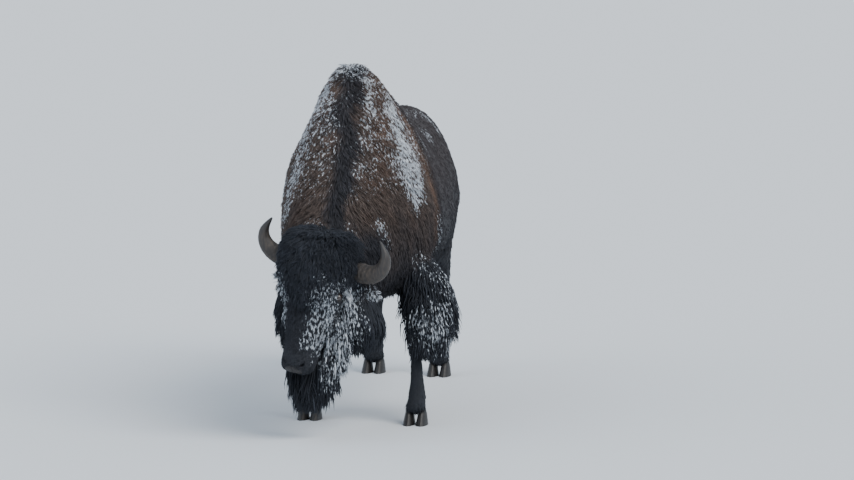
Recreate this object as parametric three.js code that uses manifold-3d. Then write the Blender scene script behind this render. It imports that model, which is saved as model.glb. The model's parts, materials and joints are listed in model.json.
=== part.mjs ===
// A life-size American bison bull in winter coat, feeding with its head lowered and turned to its right.
// Millimetres, +Z up. The animal faces -Y and its left side is +X. The four feet stand on z = 0.
// The coat is part of the outline: flesh nodes reach to the tips of their hair, and the long hair
// (crown, beard, throat, leg chaps, tail switch) has nodes of its own.
import * as THREE from "three";
import { mergeVertices } from "three/addons/utils/BufferGeometryUtils.js";
import Module from "manifold-3d";

const wasm = await Module();
wasm.setup();

// ---- Driving dimensions ----
const GAP = 1.2; // clearance between two pieces that meet
const HUMP_LEAN = -32; // the hump leans this far to the animal's right
const NECK_ROOT = [-225, 1150]; // [y, z] on the seam between trunk and neck
const NECK_SLOPE = 8.5; // degrees: the seam leans forward towards its foot
const HEAD_AT = [2, -790, 935]; // the poll, where the skull meets the neck
const NECK_END_X = HEAD_AT[0];
const HEAD_PITCH = -12; // degrees: the muzzle is carried ahead of the poll
const HEAD_ROLL = 8.5; // degrees: the right horn is carried higher than the left
const HEAD_YAW = -15; // degrees: the face is turned to the animal's right
const EYE_RADIUS = 21;
const HORN_BASE_RADIUS = 52;
const HOOF_HEIGHT = 74;
const HOOF_HALF_WIDTH = 30;
const HOOF_LENGTH = 138; // heel to toe, on the sole
const DEW_CLAW_HEIGHT = 128;
const FORE_HEEL = -22; // of a foot that hangs straight down
const HIND_HEEL = 1740;
const DEW_CLAW_BEHIND = 35; // behind the heel
const CLAW_SPACING = 33; // from the middle of the foot to the middle of a claw

const LEFT = 1;
const RIGHT = -1;

// ---- Finishes ----
const finish = (colour, roughness) =>
  new THREE.MeshStandardMaterial({ color: colour, roughness, metalness: 0 });
const CAPE_HAIR = finish(0x4a382e, 0.9);
const BODY_HAIR = finish(0x3b302d, 0.8);
const DARK_HAIR = finish(0x1f1c1d, 0.9);
const FACE_HAIR = finish(0x2a2423, 0.85);
const HORN = finish(0x5a5148, 0.45);
const EYE = finish(0x120c09, 0.1);
const HOOF = finish(0x1d1a19, 0.5);

// ---- Lofting ----
// A station is one cross-section, given by its outline in side view: the top (or front) point and the
// bottom (or back) point, both as [y, z]. half is its half-width, at the share `widest` of the way down.
// ridge and keel above 1 narrow the upper and lower half to a rounded edge, and below 1 they square it
// off. lean carries the top sideways.
const STATION_DEFAULTS = { x: 0, widest: 0.5, ridge: 1, keel: 1, lean: 0 };

function alongStations(stations, share) {
  const read = (value) =>
    new THREE.SplineCurve(stations.map((s, i) => new THREE.Vector2(i, value(s)))).getPoint(share).y;
  const number = (key) => read((s) => s[key] ?? STATION_DEFAULTS[key]);
  return {
    top: [read((s) => s.top[0]), read((s) => s.top[1])],
    bottom: [read((s) => s.bottom[0]), read((s) => s.bottom[1])],
    half: number("half"),
    x: number("x"),
    widest: number("widest"),
    ridge: number("ridge"),
    keel: number("keel"),
    lean: number("lean"),
  };
}

// The narrowing is weakest at the very top, so that a narrow back still ends in a round.
const SIDE_NARROWING = 1.9;
const TOP_NARROWING = 0.35;
function narrowing(sharpness, reach) {
  return 1 + (sharpness - 1) * (SIDE_NARROWING - (SIDE_NARROWING - TOP_NARROWING) * reach);
}

function ringOf({ top, bottom, half, x, widest, ridge, keel, lean }, sides) {
  const centre = [0, 1].map((k) => top[k] + (bottom[k] - top[k]) * widest);
  return Array.from({ length: sides }, (_, i) => {
    const angle = (i / sides) * 2 * Math.PI;
    const [across, down] = [Math.sin(angle), Math.cos(angle)];
    const end = down > 0 ? top : bottom;
    const reach = Math.abs(down);
    const power = narrowing(down > 0 ? ridge : keel, reach);
    const sideways = half * Math.sign(across) * Math.abs(across) ** power;
    return new THREE.Vector3(
      x + sideways + lean * Math.max(0, down) ** 2,
      centre[0] + (end[0] - centre[0]) * reach,
      centre[1] + (end[1] - centre[1]) * reach,
    );
  });
}

// A closed skin over rings of equal length, with a fan at each end, turned so that its faces point out.
function skinOver(rings) {
  const sides = rings[0].length;
  const points = rings.flat();
  const faces = [];
  for (let r = 0; r + 1 < rings.length; r++)
    for (let i = 0; i < sides; i++) {
      const next = (i + 1) % sides;
      const [a, b] = [r * sides + i, r * sides + next];
      const [c, d] = [a + sides, b + sides];
      faces.push([a, b, c], [b, d, c]);
    }
  for (const [ring, start] of [[rings[0], 0], [rings.at(-1), (rings.length - 1) * sides]]) {
    const middle = ring.reduce((sum, p) => sum.add(p), new THREE.Vector3()).divideScalar(sides);
    points.push(middle);
    for (let i = 0; i < sides; i++) {
      const [a, b] = [start + i, start + ((i + 1) % sides)];
      faces.push(start === 0 ? [b, a, points.length - 1] : [a, b, points.length - 1]);
    }
  }
  const volume = faces.reduce((sum, [a, b, c]) => {
    const cross = new THREE.Vector3().crossVectors(points[b], points[c]);
    return sum + points[a].dot(cross);
  }, 0);
  const outward = volume < 0 ? faces.map(([a, b, c]) => [a, c, b]) : faces;
  const geometry = new THREE.BufferGeometry().setFromPoints(points);
  return geometry.setIndex(outward.flat());
}

function loft(stations, sides, steps) {
  const rings = Array.from({ length: steps + 1 }, (_, i) =>
    ringOf(alongStations(stations, i / steps), sides),
  );
  return skinOver(rings);
}

// A tapering tube along a curve. radii are [sideways, edgeways] shares read smoothly along it.
function taper(points, radii, sides, steps, flat = 1) {
  const curve = new THREE.CatmullRomCurve3(points.map((p) => new THREE.Vector3(...p)));
  const thickness = new THREE.SplineCurve(radii.map((r, i) => new THREE.Vector2(i, r)));
  const frames = curve.computeFrenetFrames(steps);
  const rings = Array.from({ length: steps + 1 }, (_, i) => {
    const share = i / steps;
    const centre = curve.getPointAt(share);
    const radius = thickness.getPoint(share).y;
    return Array.from({ length: sides }, (_, k) => {
      const angle = (k / sides) * 2 * Math.PI;
      return centre
        .clone()
        .addScaledVector(frames.normals[i], radius * Math.cos(angle))
        .addScaledVector(frames.binormals[i], radius * flat * Math.sin(angle));
    });
  });
  return skinOver(rings);
}

function bulb([x, y, z], [a, b, c], sides = 14) {
  return new THREE.SphereGeometry(1, sides, Math.ceil(sides * 0.7)).scale(a, b, c).translate(x, y, z);
}

// ---- Solids ----
const UPRIGHT = new THREE.Matrix4();

function solidFrom(geometry, matrix = UPRIGHT) {
  const bare = new THREE.BufferGeometry()
    .setAttribute("position", geometry.getAttribute("position"))
    .setIndex(geometry.index)
    .applyMatrix4(matrix);
  const merged = mergeVertices(bare, 1e-3);
  return new wasm.Manifold(
    new wasm.Mesh({
      numProp: 3,
      vertProperties: merged.attributes.position.array,
      triVerts: new Uint32Array(merged.index.array),
    }),
  );
}

function geometryFrom(solid) {
  const { vertProperties, triVerts } = solid.getMesh();
  return new THREE.BufferGeometry()
    .setAttribute("position", new THREE.BufferAttribute(new Float32Array(vertProperties), 3))
    .setIndex(new THREE.BufferAttribute(new Uint32Array(triVerts), 1));
}

// A plain form grown by the clearance, along its own vertex normals.
function swollen(solid) {
  const geometry = geometryFrom(solid);
  geometry.computeVertexNormals();
  const place = geometry.getAttribute("position");
  const normal = geometry.getAttribute("normal");
  for (let i = 0; i < place.count; i++)
    place.setXYZ(
      i,
      place.getX(i) + normal.getX(i) * GAP,
      place.getY(i) + normal.getY(i) * GAP,
      place.getZ(i) + normal.getZ(i) * GAP,
    );
  return solidFrom(geometry);
}

// What is left of a solid when plain forms, with clearance round them, are cut out of it.
function clearOf(solid, ...forms) {
  const rest = forms.reduce((left, form) => left.subtract(swollen(form)), solid);
  return rest.decompose().reduce((most, piece) => (piece.volume() > most.volume() ? piece : most));
}

const joined = (...solids) => solids.reduce((all, one) => all.add(one));

// ---- The animal, and the head's own frame: x to its left, -y out of the forehead, -z down the face ----
const animal = new THREE.Group();
const headFrame = new THREE.Group();
headFrame.position.set(...HEAD_AT);
headFrame.rotation.set(
  THREE.MathUtils.degToRad(HEAD_PITCH),
  THREE.MathUtils.degToRad(HEAD_ROLL),
  THREE.MathUtils.degToRad(HEAD_YAW),
  "ZYX",
);
animal.add(headFrame);
animal.updateMatrixWorld(true);
const HEAD = headFrame.matrixWorld.clone();

// ---- Torso: rump, loin, barrel, hump and neck, cut into trunk and neck on a slanted seam ----
const TORSO = [
  { top: [1880, 1250], bottom: [1870, 1000], half: 96 },
  { top: [1800, 1362], bottom: [1770, 900], half: 196, widest: 0.6, ridge: 1.2 },
  { top: [1640, 1438], bottom: [1600, 850], half: 252, widest: 0.68, ridge: 1.36 },
  { top: [1430, 1474], bottom: [1400, 800], half: 280, widest: 0.72, ridge: 1.45 },
  { top: [1210, 1474], bottom: [1200, 712], half: 322, widest: 0.7, ridge: 1.48 },
  { top: [980, 1492], bottom: [980, 622], half: 360, widest: 0.68, ridge: 1.5 },
  { top: [740, 1556], bottom: [750, 592], half: 376, widest: 0.66, ridge: 1.55 },
  { top: [500, 1665], bottom: [520, 585], half: 388, widest: 0.66, ridge: 1.65, lean: HUMP_LEAN / 2 },
  { top: [290, 1768], bottom: [300, 588], half: 396, widest: 0.67, ridge: 1.7, lean: HUMP_LEAN },
  { top: [110, 1805], bottom: [90, 592], half: 394, widest: 0.68, ridge: 1.72, lean: HUMP_LEAN },
  { top: [-30, 1768], bottom: [-130, 605], half: 374, widest: 0.66, ridge: 1.72, lean: HUMP_LEAN },
  { top: [-160, 1668], bottom: [-300, 630], half: 344, widest: 0.64, ridge: 1.68, lean: HUMP_LEAN },
  { top: [-290, 1540], bottom: [-440, 645], half: 314, widest: 0.61, ridge: 1.58, lean: HUMP_LEAN / 2 },
  { top: [-430, 1400], bottom: [-550, 655], half: 280, widest: 0.58, ridge: 1.48, x: NECK_END_X / 4 },
  { top: [-570, 1255], bottom: [-635, 662], half: 246, widest: 0.55, ridge: 1.35, x: NECK_END_X / 2 },
  { top: [-690, 1115], bottom: [-700, 668], half: 208, widest: 0.52, ridge: 1.2, x: NECK_END_X },
  { top: [-770, 985], bottom: [-755, 720], half: 130, x: NECK_END_X },
];

const makeTorso = () => solidFrom(loft(TORSO, 22, 27));

function cutAtNeck(torso) {
  const slope = THREE.MathUtils.degToRad(NECK_SLOPE);
  const backward = [0, Math.cos(slope), -Math.sin(slope)];
  const seam = backward[1] * NECK_ROOT[0] + backward[2] * NECK_ROOT[1];
  const trunk = torso.trimByPlane(backward, seam + GAP / 2);
  const neck = torso.trimByPlane(backward.map((v) => -v), GAP / 2 - seam);
  return { trunk, neck };
}

// ---- Head ----
const FACE = [
  { top: [-50, 60], bottom: [40, 60], half: 58 },
  { top: [-106, 24], bottom: [95, 30], half: 118 },
  { top: [-144, -45], bottom: [126, -40], half: 152 },
  { top: [-160, -120], bottom: [144, -120], half: 162, ridge: 0.9 },
  { top: [-162, -195], bottom: [154, -205], half: 157, ridge: 0.85, widest: 0.45 },
  { top: [-152, -275], bottom: [152, -295], half: 142, ridge: 0.85, widest: 0.48 },
  { top: [-137, -355], bottom: [122, -375], half: 118, ridge: 0.85 },
  { top: [-124, -430], bottom: [92, -440], half: 98, ridge: 0.85 },
  { top: [-118, -500], bottom: [72, -500], half: 90, ridge: 0.8, keel: 0.9 },
  { top: [-114, -552], bottom: [56, -545], half: 92, ridge: 0.75, keel: 0.9 },
  { top: [-96, -592], bottom: [36, -580], half: 81, ridge: 0.8 },
  { top: [-58, -612], bottom: [6, -600], half: 46 },
];
const EYE_AT = [154, -74, -190]; // of the left eye
const ORBIT = [34, 46, 40]; // half-sizes of the bulge that carries the eye
const ORBIT_INSET = 17; // the bulge's middle lies this far inward of the eye's
const NOSTRIL_AT = [52, -113, -560];
const NOSTRIL = [15, 20, 22];
const MOUTH_AT = [0, 10, -575]; // middle of the closed mouth
const MOUTH = [130, 3, 90];

const mirrored = (place, side) => [place[0] * side, place[1], place[2]];

const makeSkull = () => solidFrom(loft(FACE, 18, 15), HEAD);

function makeOrbit(side) {
  const [x, y, z] = EYE_AT;
  return solidFrom(bulb(mirrored([x - ORBIT_INSET, y, z], side), ORBIT, 10), HEAD);
}

const makeEye = (side) =>
  solidFrom(bulb(mirrored(EYE_AT, side), [EYE_RADIUS, EYE_RADIUS, EYE_RADIUS], 8), HEAD);

function makeFaceOpenings() {
  const nostrils = [LEFT, RIGHT].map((side) => bulb(mirrored(NOSTRIL_AT, side), NOSTRIL, 6));
  const mouth = bulb(MOUTH_AT, MOUTH, 10);
  return [...nostrils, mouth].map((opening) => solidFrom(opening, HEAD));
}

// The horn leaves the side of the skull, sweeps out and rises to a tip that turns in.
function makeHorn(side) {
  const route = [
    [110, 22, -34],
    [192, 26, -48],
    [270, 12, -45],
    [328, -14, -4],
    [340, -42, 56],
    [302, -62, 124],
  ].map((place) => mirrored(place, side));
  const b = HORN_BASE_RADIUS;
  return solidFrom(taper(route, [b * 0.96, b, b * 0.92, b * 0.74, b * 0.46, b * 0.07], 9, 10), HEAD);
}

// The ear is a furry leaf behind and below the horn.
function makeEar(side) {
  const route = [
    [120, 74, -98],
    [186, 92, -116],
    [244, 106, -134],
    [298, 116, -160],
  ].map((place) => mirrored(place, side));
  return solidFrom(taper(route, [26, 45, 40, 8], 8, 5, 0.45), HEAD);
}

// ---- Long hair of the head and neck ----
const CROWN = [
  { top: [-60, 142], bottom: [90, 158], half: 90, x: -22 },
  { top: [-165, 108], bottom: [165, 140], half: 174, x: -26 },
  { top: [-228, 22], bottom: [200, 88], half: 216, x: -22 },
  { top: [-250, -75], bottom: [205, 18], half: 226, x: -16 },
  { top: [-244, -165], bottom: [190, -45], half: 210, x: -10 },
  { top: [-218, -232], bottom: [172, -85], half: 170 },
  { top: [-176, -268], bottom: [150, -110], half: 108 },
];
const BEARD = [
  { top: [40, -215], bottom: [205, -160], half: 108 },
  { top: [4, -300], bottom: [248, -262], half: 150 },
  { top: [-4, -390], bottom: [262, -370], half: 156 },
  { top: [8, -480], bottom: [256, -475], half: 142 },
  { top: [30, -575], bottom: [240, -578], half: 118 },
  { top: [62, -670], bottom: [216, -676], half: 84 },
  { top: [104, -750], bottom: [178, -756], half: 36 },
];
const THROAT = [
  { top: [-720, 770], bottom: [-730, 590], half: 92, x: 12 },
  { top: [-640, 790], bottom: [-665, 462], half: 168, x: 30, keel: 0.7 },
  { top: [-510, 790], bottom: [-520, 412], half: 202, x: 42, keel: 0.65 },
  { top: [-360, 780], bottom: [-360, 432], half: 206, x: 36, keel: 0.65 },
  { top: [-210, 760], bottom: [-190, 500], half: 180, x: 14, keel: 0.7 },
  { top: [-60, 720], bottom: [-20, 560], half: 130 },
  { top: [40, 680], bottom: [90, 590], half: 70 },
];

// ---- Legs: stations from inside the body down to the hairline of the hoof ----
const FORELEG = [
  { top: [-50, 1040], bottom: [180, 1040], half: 88 },
  { top: [-72, 850], bottom: [165, 850], half: 92 },
  { top: [-84, 700], bottom: [104, 700], half: 76 },
  { top: [-88, 560], bottom: [52, 560], half: 60 },
  { top: [-94, 478], bottom: [28, 478], half: 55 },
  { top: [-96, 425], bottom: [18, 425], half: 54 },
  { top: [-82, 365], bottom: [6, 365], half: 43 },
  { top: [-76, 280], bottom: [0, 280], half: 37 },
  { top: [-78, 205], bottom: [4, 205], half: 41 },
  { top: [-88, 158], bottom: [14, 156], half: 50 },
  { top: [-102, 112], bottom: [-4, 110], half: 49 },
  { top: [-120, HOOF_HEIGHT + 6], bottom: [-12, HOOF_HEIGHT + 6], half: 58 },
];
const HINDLEG = [
  { top: [1440, 1220], bottom: [1740, 1220], half: 28 },
  { top: [1346, 1110], bottom: [1820, 1110], half: 82 },
  { top: [1312, 990], bottom: [1862, 990], half: 112 },
  { top: [1322, 880], bottom: [1868, 880], half: 116 },
  { top: [1374, 780], bottom: [1828, 780], half: 100 },
  { top: [1470, 695], bottom: [1812, 690], half: 80 },
  { top: [1582, 620], bottom: [1832, 612], half: 62 },
  { top: [1680, 550], bottom: [1852, 535], half: 51 },
  { top: [1716, 480], bottom: [1838, 462], half: 45 },
  { top: [1716, 380], bottom: [1802, 372], half: 38 },
  { top: [1706, 262], bottom: [1786, 256], half: 37 },
  { top: [1700, 195], bottom: [1788, 192], half: 42 },
  { top: [1688, 152], bottom: [1792, 148], half: 50 },
  { top: [1668, 112], bottom: [1768, 106], half: 48 },
  { top: [1640, HOOF_HEIGHT + 6], bottom: [1746, HOOF_HEIGHT + 6], half: 57 },
];
const CHAPS = [
  { top: [-60, 905], bottom: [160, 905], half: 84, x: -4 },
  { top: [-142, 830], bottom: [216, 825], half: 126, x: 26 },
  { top: [-166, 735], bottom: [228, 725], half: 150, x: 50 },
  { top: [-172, 600], bottom: [196, 590], half: 160, x: 62 },
  { top: [-164, 490], bottom: [150, 480], half: 150, x: 56 },
  { top: [-140, 405], bottom: [104, 395], half: 120, x: 34 },
  { top: [-108, 345], bottom: [52, 345], half: 72, x: 10 },
];
const ELBOW_HEIGHT = 850;
const STANCES = {
  foreleg_left: { side: LEFT, spread: 285, ahead: 70, outward: 60 },
  foreleg_right: { side: RIGHT, spread: 215, ahead: -35, outward: 5 },
  hindleg_left: { side: LEFT, spread: 145, ahead: 30, outward: 5 },
  hindleg_right: { side: RIGHT, spread: 168, ahead: -45, outward: 45 },
};

// A leg's stance: the foot is carried ahead and outward of where it would hang, and the joints
// between it and the body take their share. A station's own x is counted outward from the leg's middle.
function inStance(stations, { side, spread, ahead, outward }) {
  return stations.map((station) => {
    const swing = Math.max(0, 1 - station.top[1] / ELBOW_HEIGHT);
    const forward = ahead * swing;
    const out = outward * (1 - (1 - swing) ** 2);
    return {
      ...station,
      top: [station.top[0] - forward, station.top[1]],
      bottom: [station.bottom[0] - forward, station.bottom[1]],
      x: side * (spread + out + (station.x ?? 0)),
    };
  });
}

// One claw, on a flat sole. heel is its rearmost point on the floor.
function makeClaw(x, heel) {
  const across = (height, toe, behind) => ({
    top: [heel - toe, height],
    bottom: [heel + behind, height],
  });
  return solidFrom(
    loft(
      [
        { ...across(HOOF_HEIGHT, HOOF_LENGTH - 46, 10), half: HOOF_HALF_WIDTH - 6, x },
        { ...across(HOOF_HEIGHT / 2, HOOF_LENGTH - 20, 6), half: HOOF_HALF_WIDTH - 1, x, widest: 0.6 },
        { ...across(0, HOOF_LENGTH, 0), half: HOOF_HALF_WIDTH, x, widest: 0.6 },
      ],
      10,
      2,
    ),
  );
}

const DEW_CLAW = [15, 13, 22];
function makeDewClaw(x, y) {
  return solidFrom(bulb([x, y, DEW_CLAW_HEIGHT], DEW_CLAW, 5));
}

// ---- Tail ----
const TAIL_ROUTE = [
  [0, 1800, 1290],
  [0, 1890, 1262],
  [4, 1945, 1160],
  [8, 1958, 1020],
  [10, 1955, 900],
];
const SWITCH_ROUTE = [
  [10, 1956, 925],
  [10, 1957, 850],
  [12, 1962, 760],
  [14, 1966, 670],
];

// ---- Assembly ----
function place(parent, name, solid, material) {
  parent.updateWorldMatrix(true, false);
  const local = geometryFrom(solid).applyMatrix4(parent.matrixWorld.clone().invert());
  const mesh = new THREE.Mesh(local, material);
  mesh.name = name;
  parent.add(mesh);
}

const eyes = [makeEye(LEFT), makeEye(RIGHT)];
const horns = [makeHorn(LEFT), makeHorn(RIGHT)];
const ears = [makeEar(LEFT), makeEar(RIGHT)];
const skull = [makeSkull(), makeOrbit(LEFT), makeOrbit(RIGHT)];
const torso = makeTorso();
const throat = solidFrom(loft(THROAT, 12, 7));
const legs = {};
const chaps = {};
for (const [name, stance] of Object.entries(STANCES)) {
  const isFore = name.startsWith("fore");
  legs[name] = solidFrom(loft(inStance(isFore ? FORELEG : HINDLEG, stance), 10, 12));
  if (isFore) chaps[name.replace("foreleg", "chaps")] = solidFrom(loft(inStance(CHAPS, stance), 12, 7));
}
const foreLegs = [legs.foreleg_left, legs.foreleg_right];
const tail = solidFrom(taper(TAIL_ROUTE, [40, 38, 26, 22, 18], 10, 8));
const tailSwitch = solidFrom(taper(SWITCH_ROUTE, [20, 44, 46, 8], 10, 6));
const crown = solidFrom(loft(CROWN, 14, 7), HEAD);
const beard = solidFrom(loft(BEARD, 12, 7), HEAD);

const head = clearOf(joined(...skull), ...horns, ...eyes).subtract(joined(...makeFaceOpenings()));
const { trunk, neck } = cutAtNeck(torso);
place(animal, "trunk", trunk, BODY_HAIR);
place(animal, "neck", clearOf(neck, ...skull, ...horns, ...ears), CAPE_HAIR);
place(headFrame, "head", head, FACE_HAIR);
const crownHair = clearOf(crown, ...skull, torso, ...horns, ...ears, ...eyes);
place(headFrame, "crown_hair", crownHair, DARK_HAIR);
place(headFrame, "beard", clearOf(beard, ...skull, ...ears, torso, throat), DARK_HAIR);
place(animal, "throat_mane", clearOf(throat, torso, ...skull, ...foreLegs), DARK_HAIR);
place(animal, "tail", clearOf(tail, torso), BODY_HAIR);
place(animal, "tail_switch", clearOf(tailSwitch, tail), DARK_HAIR);
[LEFT, RIGHT].forEach((side, i) => {
  const word = side === LEFT ? "left" : "right";
  place(headFrame, "eye_" + word, eyes[i], EYE);
  place(headFrame, "horn_" + word, horns[i], HORN);
  place(headFrame, "ear_" + word, clearOf(ears[i], ...skull, ...horns), FACE_HAIR);
});
for (const [name, leg] of Object.entries(legs)) {
  const { side, spread, ahead, outward } = STANCES[name];
  const isFore = name.startsWith("fore");
  const footX = side * (spread + outward);
  const heel = (isFore ? FORE_HEEL : HIND_HEEL) - ahead;
  const feet = [LEFT, RIGHT].map((clawSide) => ({
    word: clawSide === side ? "outer" : "inner",
    claw: makeClaw(footX + clawSide * CLAW_SPACING, heel),
    dew: makeDewClaw(footX + clawSide * CLAW_SPACING * 0.8, heel + DEW_CLAW_BEHIND),
  }));
  const feetForms = feet.flatMap(({ claw, dew }) => [claw, dew]);
  place(animal, name, clearOf(leg, torso, ...feetForms), BODY_HAIR);
  for (const { word, claw, dew } of feet) {
    place(animal, name.replace("leg", "hoof") + "_" + word, claw, HOOF);
    place(animal, name.replace("leg", "dewclaw") + "_" + word, dew, HOOF);
  }
}
for (const [name, hair] of Object.entries(chaps)) {
  place(animal, name, clearOf(hair, torso, throat, ...foreLegs), DARK_HAIR);
}

// The origin is on the floor under the middle of the whole animal.
const box = new THREE.Box3().setFromObject(animal, true);
const middle = box.getCenter(new THREE.Vector3());
const bison = new THREE.Group();
animal.position.set(-middle.x, -middle.y, 0);
bison.add(animal);

export default bison;
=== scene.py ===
# %% [markdown]
# # A bison bull in its winter coat
# This lesson dresses a still, life-size model of a bison. The solids of the animal come ready-made in
# one fixed frame (metres, +Z up, head towards -Y, the animal's left at +X). They give the true outline,
# out to the tips of the hair. Our work is what a modeller calls the surface: one seamless skin, the
# sculpted face, a coat built lock by lock, horns, eyes and hooves, and a finish for each.
# Everything is placed from the solids, so a change in them carries through to the end.

# %% The frame and the tools
import json
import math

import bpy
import numpy as np
from mathutils import Euler, Matrix, Vector
from mathutils.bvhtree import BVHTree
from mathutils.kdtree import KDTree

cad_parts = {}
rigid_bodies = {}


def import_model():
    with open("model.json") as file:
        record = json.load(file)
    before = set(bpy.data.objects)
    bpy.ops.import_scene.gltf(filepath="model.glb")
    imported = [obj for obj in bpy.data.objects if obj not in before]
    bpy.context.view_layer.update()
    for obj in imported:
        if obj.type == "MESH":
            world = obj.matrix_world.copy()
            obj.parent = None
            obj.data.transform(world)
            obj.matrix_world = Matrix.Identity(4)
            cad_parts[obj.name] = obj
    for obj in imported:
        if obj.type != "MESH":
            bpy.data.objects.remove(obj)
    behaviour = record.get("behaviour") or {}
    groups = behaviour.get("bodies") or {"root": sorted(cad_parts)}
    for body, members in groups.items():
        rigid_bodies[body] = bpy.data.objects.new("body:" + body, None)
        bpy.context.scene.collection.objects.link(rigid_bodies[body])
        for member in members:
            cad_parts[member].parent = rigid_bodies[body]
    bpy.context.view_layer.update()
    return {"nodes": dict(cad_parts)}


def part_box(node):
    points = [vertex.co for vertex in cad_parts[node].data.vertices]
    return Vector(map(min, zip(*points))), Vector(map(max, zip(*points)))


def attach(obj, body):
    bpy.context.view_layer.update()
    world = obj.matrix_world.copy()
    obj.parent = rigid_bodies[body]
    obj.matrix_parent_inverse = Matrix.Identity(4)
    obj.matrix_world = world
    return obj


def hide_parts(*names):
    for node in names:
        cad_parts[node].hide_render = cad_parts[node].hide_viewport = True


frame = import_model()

nodes = frame["nodes"]

# %% [markdown]
# ## Two handy frames
# The body is laid out from a plain origin under the shoulders, and the head has a frame of its own,
# because it is lowered, tilted and turned. In head coordinates x points to the animal's left, -y out of
# the forehead and -z down the face to the muzzle, so that nostrils and eyelids can be placed on a
# symmetrical head. The frame is found from the eyes, whose place in the head is known.

# %% The body's and the head's frame
HEAD_PITCH = math.radians(-12)
HEAD_ROLL = math.radians(8.5)
HEAD_YAW = math.radians(-15)
EYE_AT = Vector((0.154, -0.074, -0.190))  # the left eye, in head coordinates
HEAD_FROM_BODY = Vector((0.002, -0.790, 0.935))  # the head's origin, in body coordinates

head_turn = Euler((HEAD_PITCH, HEAD_ROLL, HEAD_YAW), "XYZ").to_matrix()


def middle_of(name):
    low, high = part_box(name)
    return (low + high) / 2


between_eyes = (middle_of("eye_left") + middle_of("eye_right")) / 2
head_origin = between_eyes - head_turn @ Vector((0, EYE_AT.y, EYE_AT.z))
HEAD = Matrix.Translation(head_origin) @ head_turn.to_4x4()
BODY_ORIGIN = head_origin - HEAD_FROM_BODY
BODY_ORIGIN.z = 0
print("body origin", [round(v, 4) for v in BODY_ORIGIN])
print("head origin", [round(v, 3) for v in head_origin])
print("eye check", [round(v, 4) for v in HEAD.inverted() @ middle_of("eye_left")])

# %% [markdown]
# ## The camera
# A long lens from far away flattens the animal, as a wildlife photographer's does: the rump is drawn
# nearly as large as the face. So the camera stands 45 m off, a little to the animal's left and above it.
# The lens follows from the scale that is wanted in the picture.

# %% Camera
PICTURE_WIDTH, PICTURE_HEIGHT = 854, 480
VIEW_DISTANCE = 45.0
VIEW_AZIMUTH = math.radians(10)
VIEW_ELEVATION = math.radians(7)
PIXELS_PER_METRE = 197
HUMP_PIXEL = (352, 63)  # where the top of the hump stands in the picture
SENSOR = 36.0
SIGHT = 500  # how far the camera sees, in metres


def read_all(items, attribute, columns, kind=np.float32):
    """An array with a row for each of a mesh's vertices, edges, faces or corners."""
    flat = np.empty(len(items) * columns, kind)
    items.foreach_get(attribute, flat)
    return flat.reshape(-1, columns)


def points_of(obj):
    return read_all(obj.data.vertices, "co", 3).astype(float)


def make_camera():
    trunk = points_of(nodes["trunk"])
    hump_top = Vector(trunk[trunk[:, 2].argmax()])
    back = Vector((
        math.sin(VIEW_AZIMUTH) * math.cos(VIEW_ELEVATION),
        -math.cos(VIEW_AZIMUTH) * math.cos(VIEW_ELEVATION),
        math.sin(VIEW_ELEVATION),
    ))
    rightward = Vector((math.cos(VIEW_AZIMUTH), math.sin(VIEW_AZIMUTH), 0))
    upward = back.cross(rightward)
    across = (PICTURE_WIDTH / 2 - HUMP_PIXEL[0]) / PIXELS_PER_METRE
    down = (PICTURE_HEIGHT / 2 - HUMP_PIXEL[1]) / PIXELS_PER_METRE
    target = hump_top + across * rightward - down * upward
    bpy.ops.object.camera_add(location=target + back * VIEW_DISTANCE)
    camera = bpy.context.object
    camera.name = "camera"
    camera.rotation_euler = (-back).to_track_quat("-Z", "Y").to_euler()
    camera.data.sensor_width = SENSOR
    camera.data.lens = PIXELS_PER_METRE * VIEW_DISTANCE * SENSOR / PICTURE_WIDTH
    camera.data.clip_end = SIGHT
    bpy.context.scene.camera = camera
    return camera


camera = make_camera()
print("camera", [round(v, 2) for v in camera.location], "lens", round(camera.data.lens))

# %% [markdown]
# ## Working on a mesh as arrays
# Much of this animal is shaped by formulas that say how far each point of the skin moves. It is quickest
# to read all points into one array, work on the array, and write it back. Two helpers do the smoothing:
# `neighbours` lists the edges once, and `relax` lets every value drift to the mean of its neighbours.
# Relaxing shrinks a form, so points are pushed back a little after each pull.

# %% Array helpers
def activate(obj):
    bpy.ops.object.select_all(action="DESELECT")
    obj.select_set(True)
    bpy.context.view_layer.objects.active = obj


def set_points(obj, points):
    obj.data.vertices.foreach_set("co", np.asarray(points, np.float32).ravel())
    obj.data.update()


def normals_of(obj):
    return read_all(obj.data.vertex_normals, "vector", 3).astype(float)


def neighbours(obj):
    """The edges in both directions, and how many edges each point has."""
    pairs = read_all(obj.data.edges, "vertices", 2, np.int32)
    starts = np.concatenate([pairs[:, 0], pairs[:, 1]])
    ends = np.concatenate([pairs[:, 1], pairs[:, 0]])
    counts = np.bincount(starts, minlength=len(obj.data.vertices))
    return starts, ends, np.maximum(counts, 1)


def mean_of_neighbours(values, links):
    starts, ends, counts = links
    columns = values.reshape(len(values), -1)
    sums = [np.bincount(starts, column[ends], len(values)) for column in columns.T]
    return (np.array(sums) / counts).T.reshape(values.shape)


def relax(values, links, rounds, pull=0.5, push=0.0, weight=1.0):
    for _ in range(rounds):
        values = values + weight * pull * (mean_of_neighbours(values, links) - values)
        if push:
            values = values - weight * push * (mean_of_neighbours(values, links) - values)
    return values


def ease(value, low, high):
    """0 below low, 1 above high, and smooth between."""
    share = np.clip((value - low) / (high - low), 0, 1)
    return share * share * (3 - 2 * share)


def mix(a, b, share):
    return a + (b - a) * share


HEAD_TURN = np.array(HEAD.to_3x3())
HEAD_PLACE = np.array(HEAD.translation)


def in_body(points):
    return points - np.array(BODY_ORIGIN)


def in_head(points):
    return (points - HEAD_PLACE) @ HEAD_TURN


def from_head(points):
    return points @ HEAD_TURN.T + HEAD_PLACE


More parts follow.
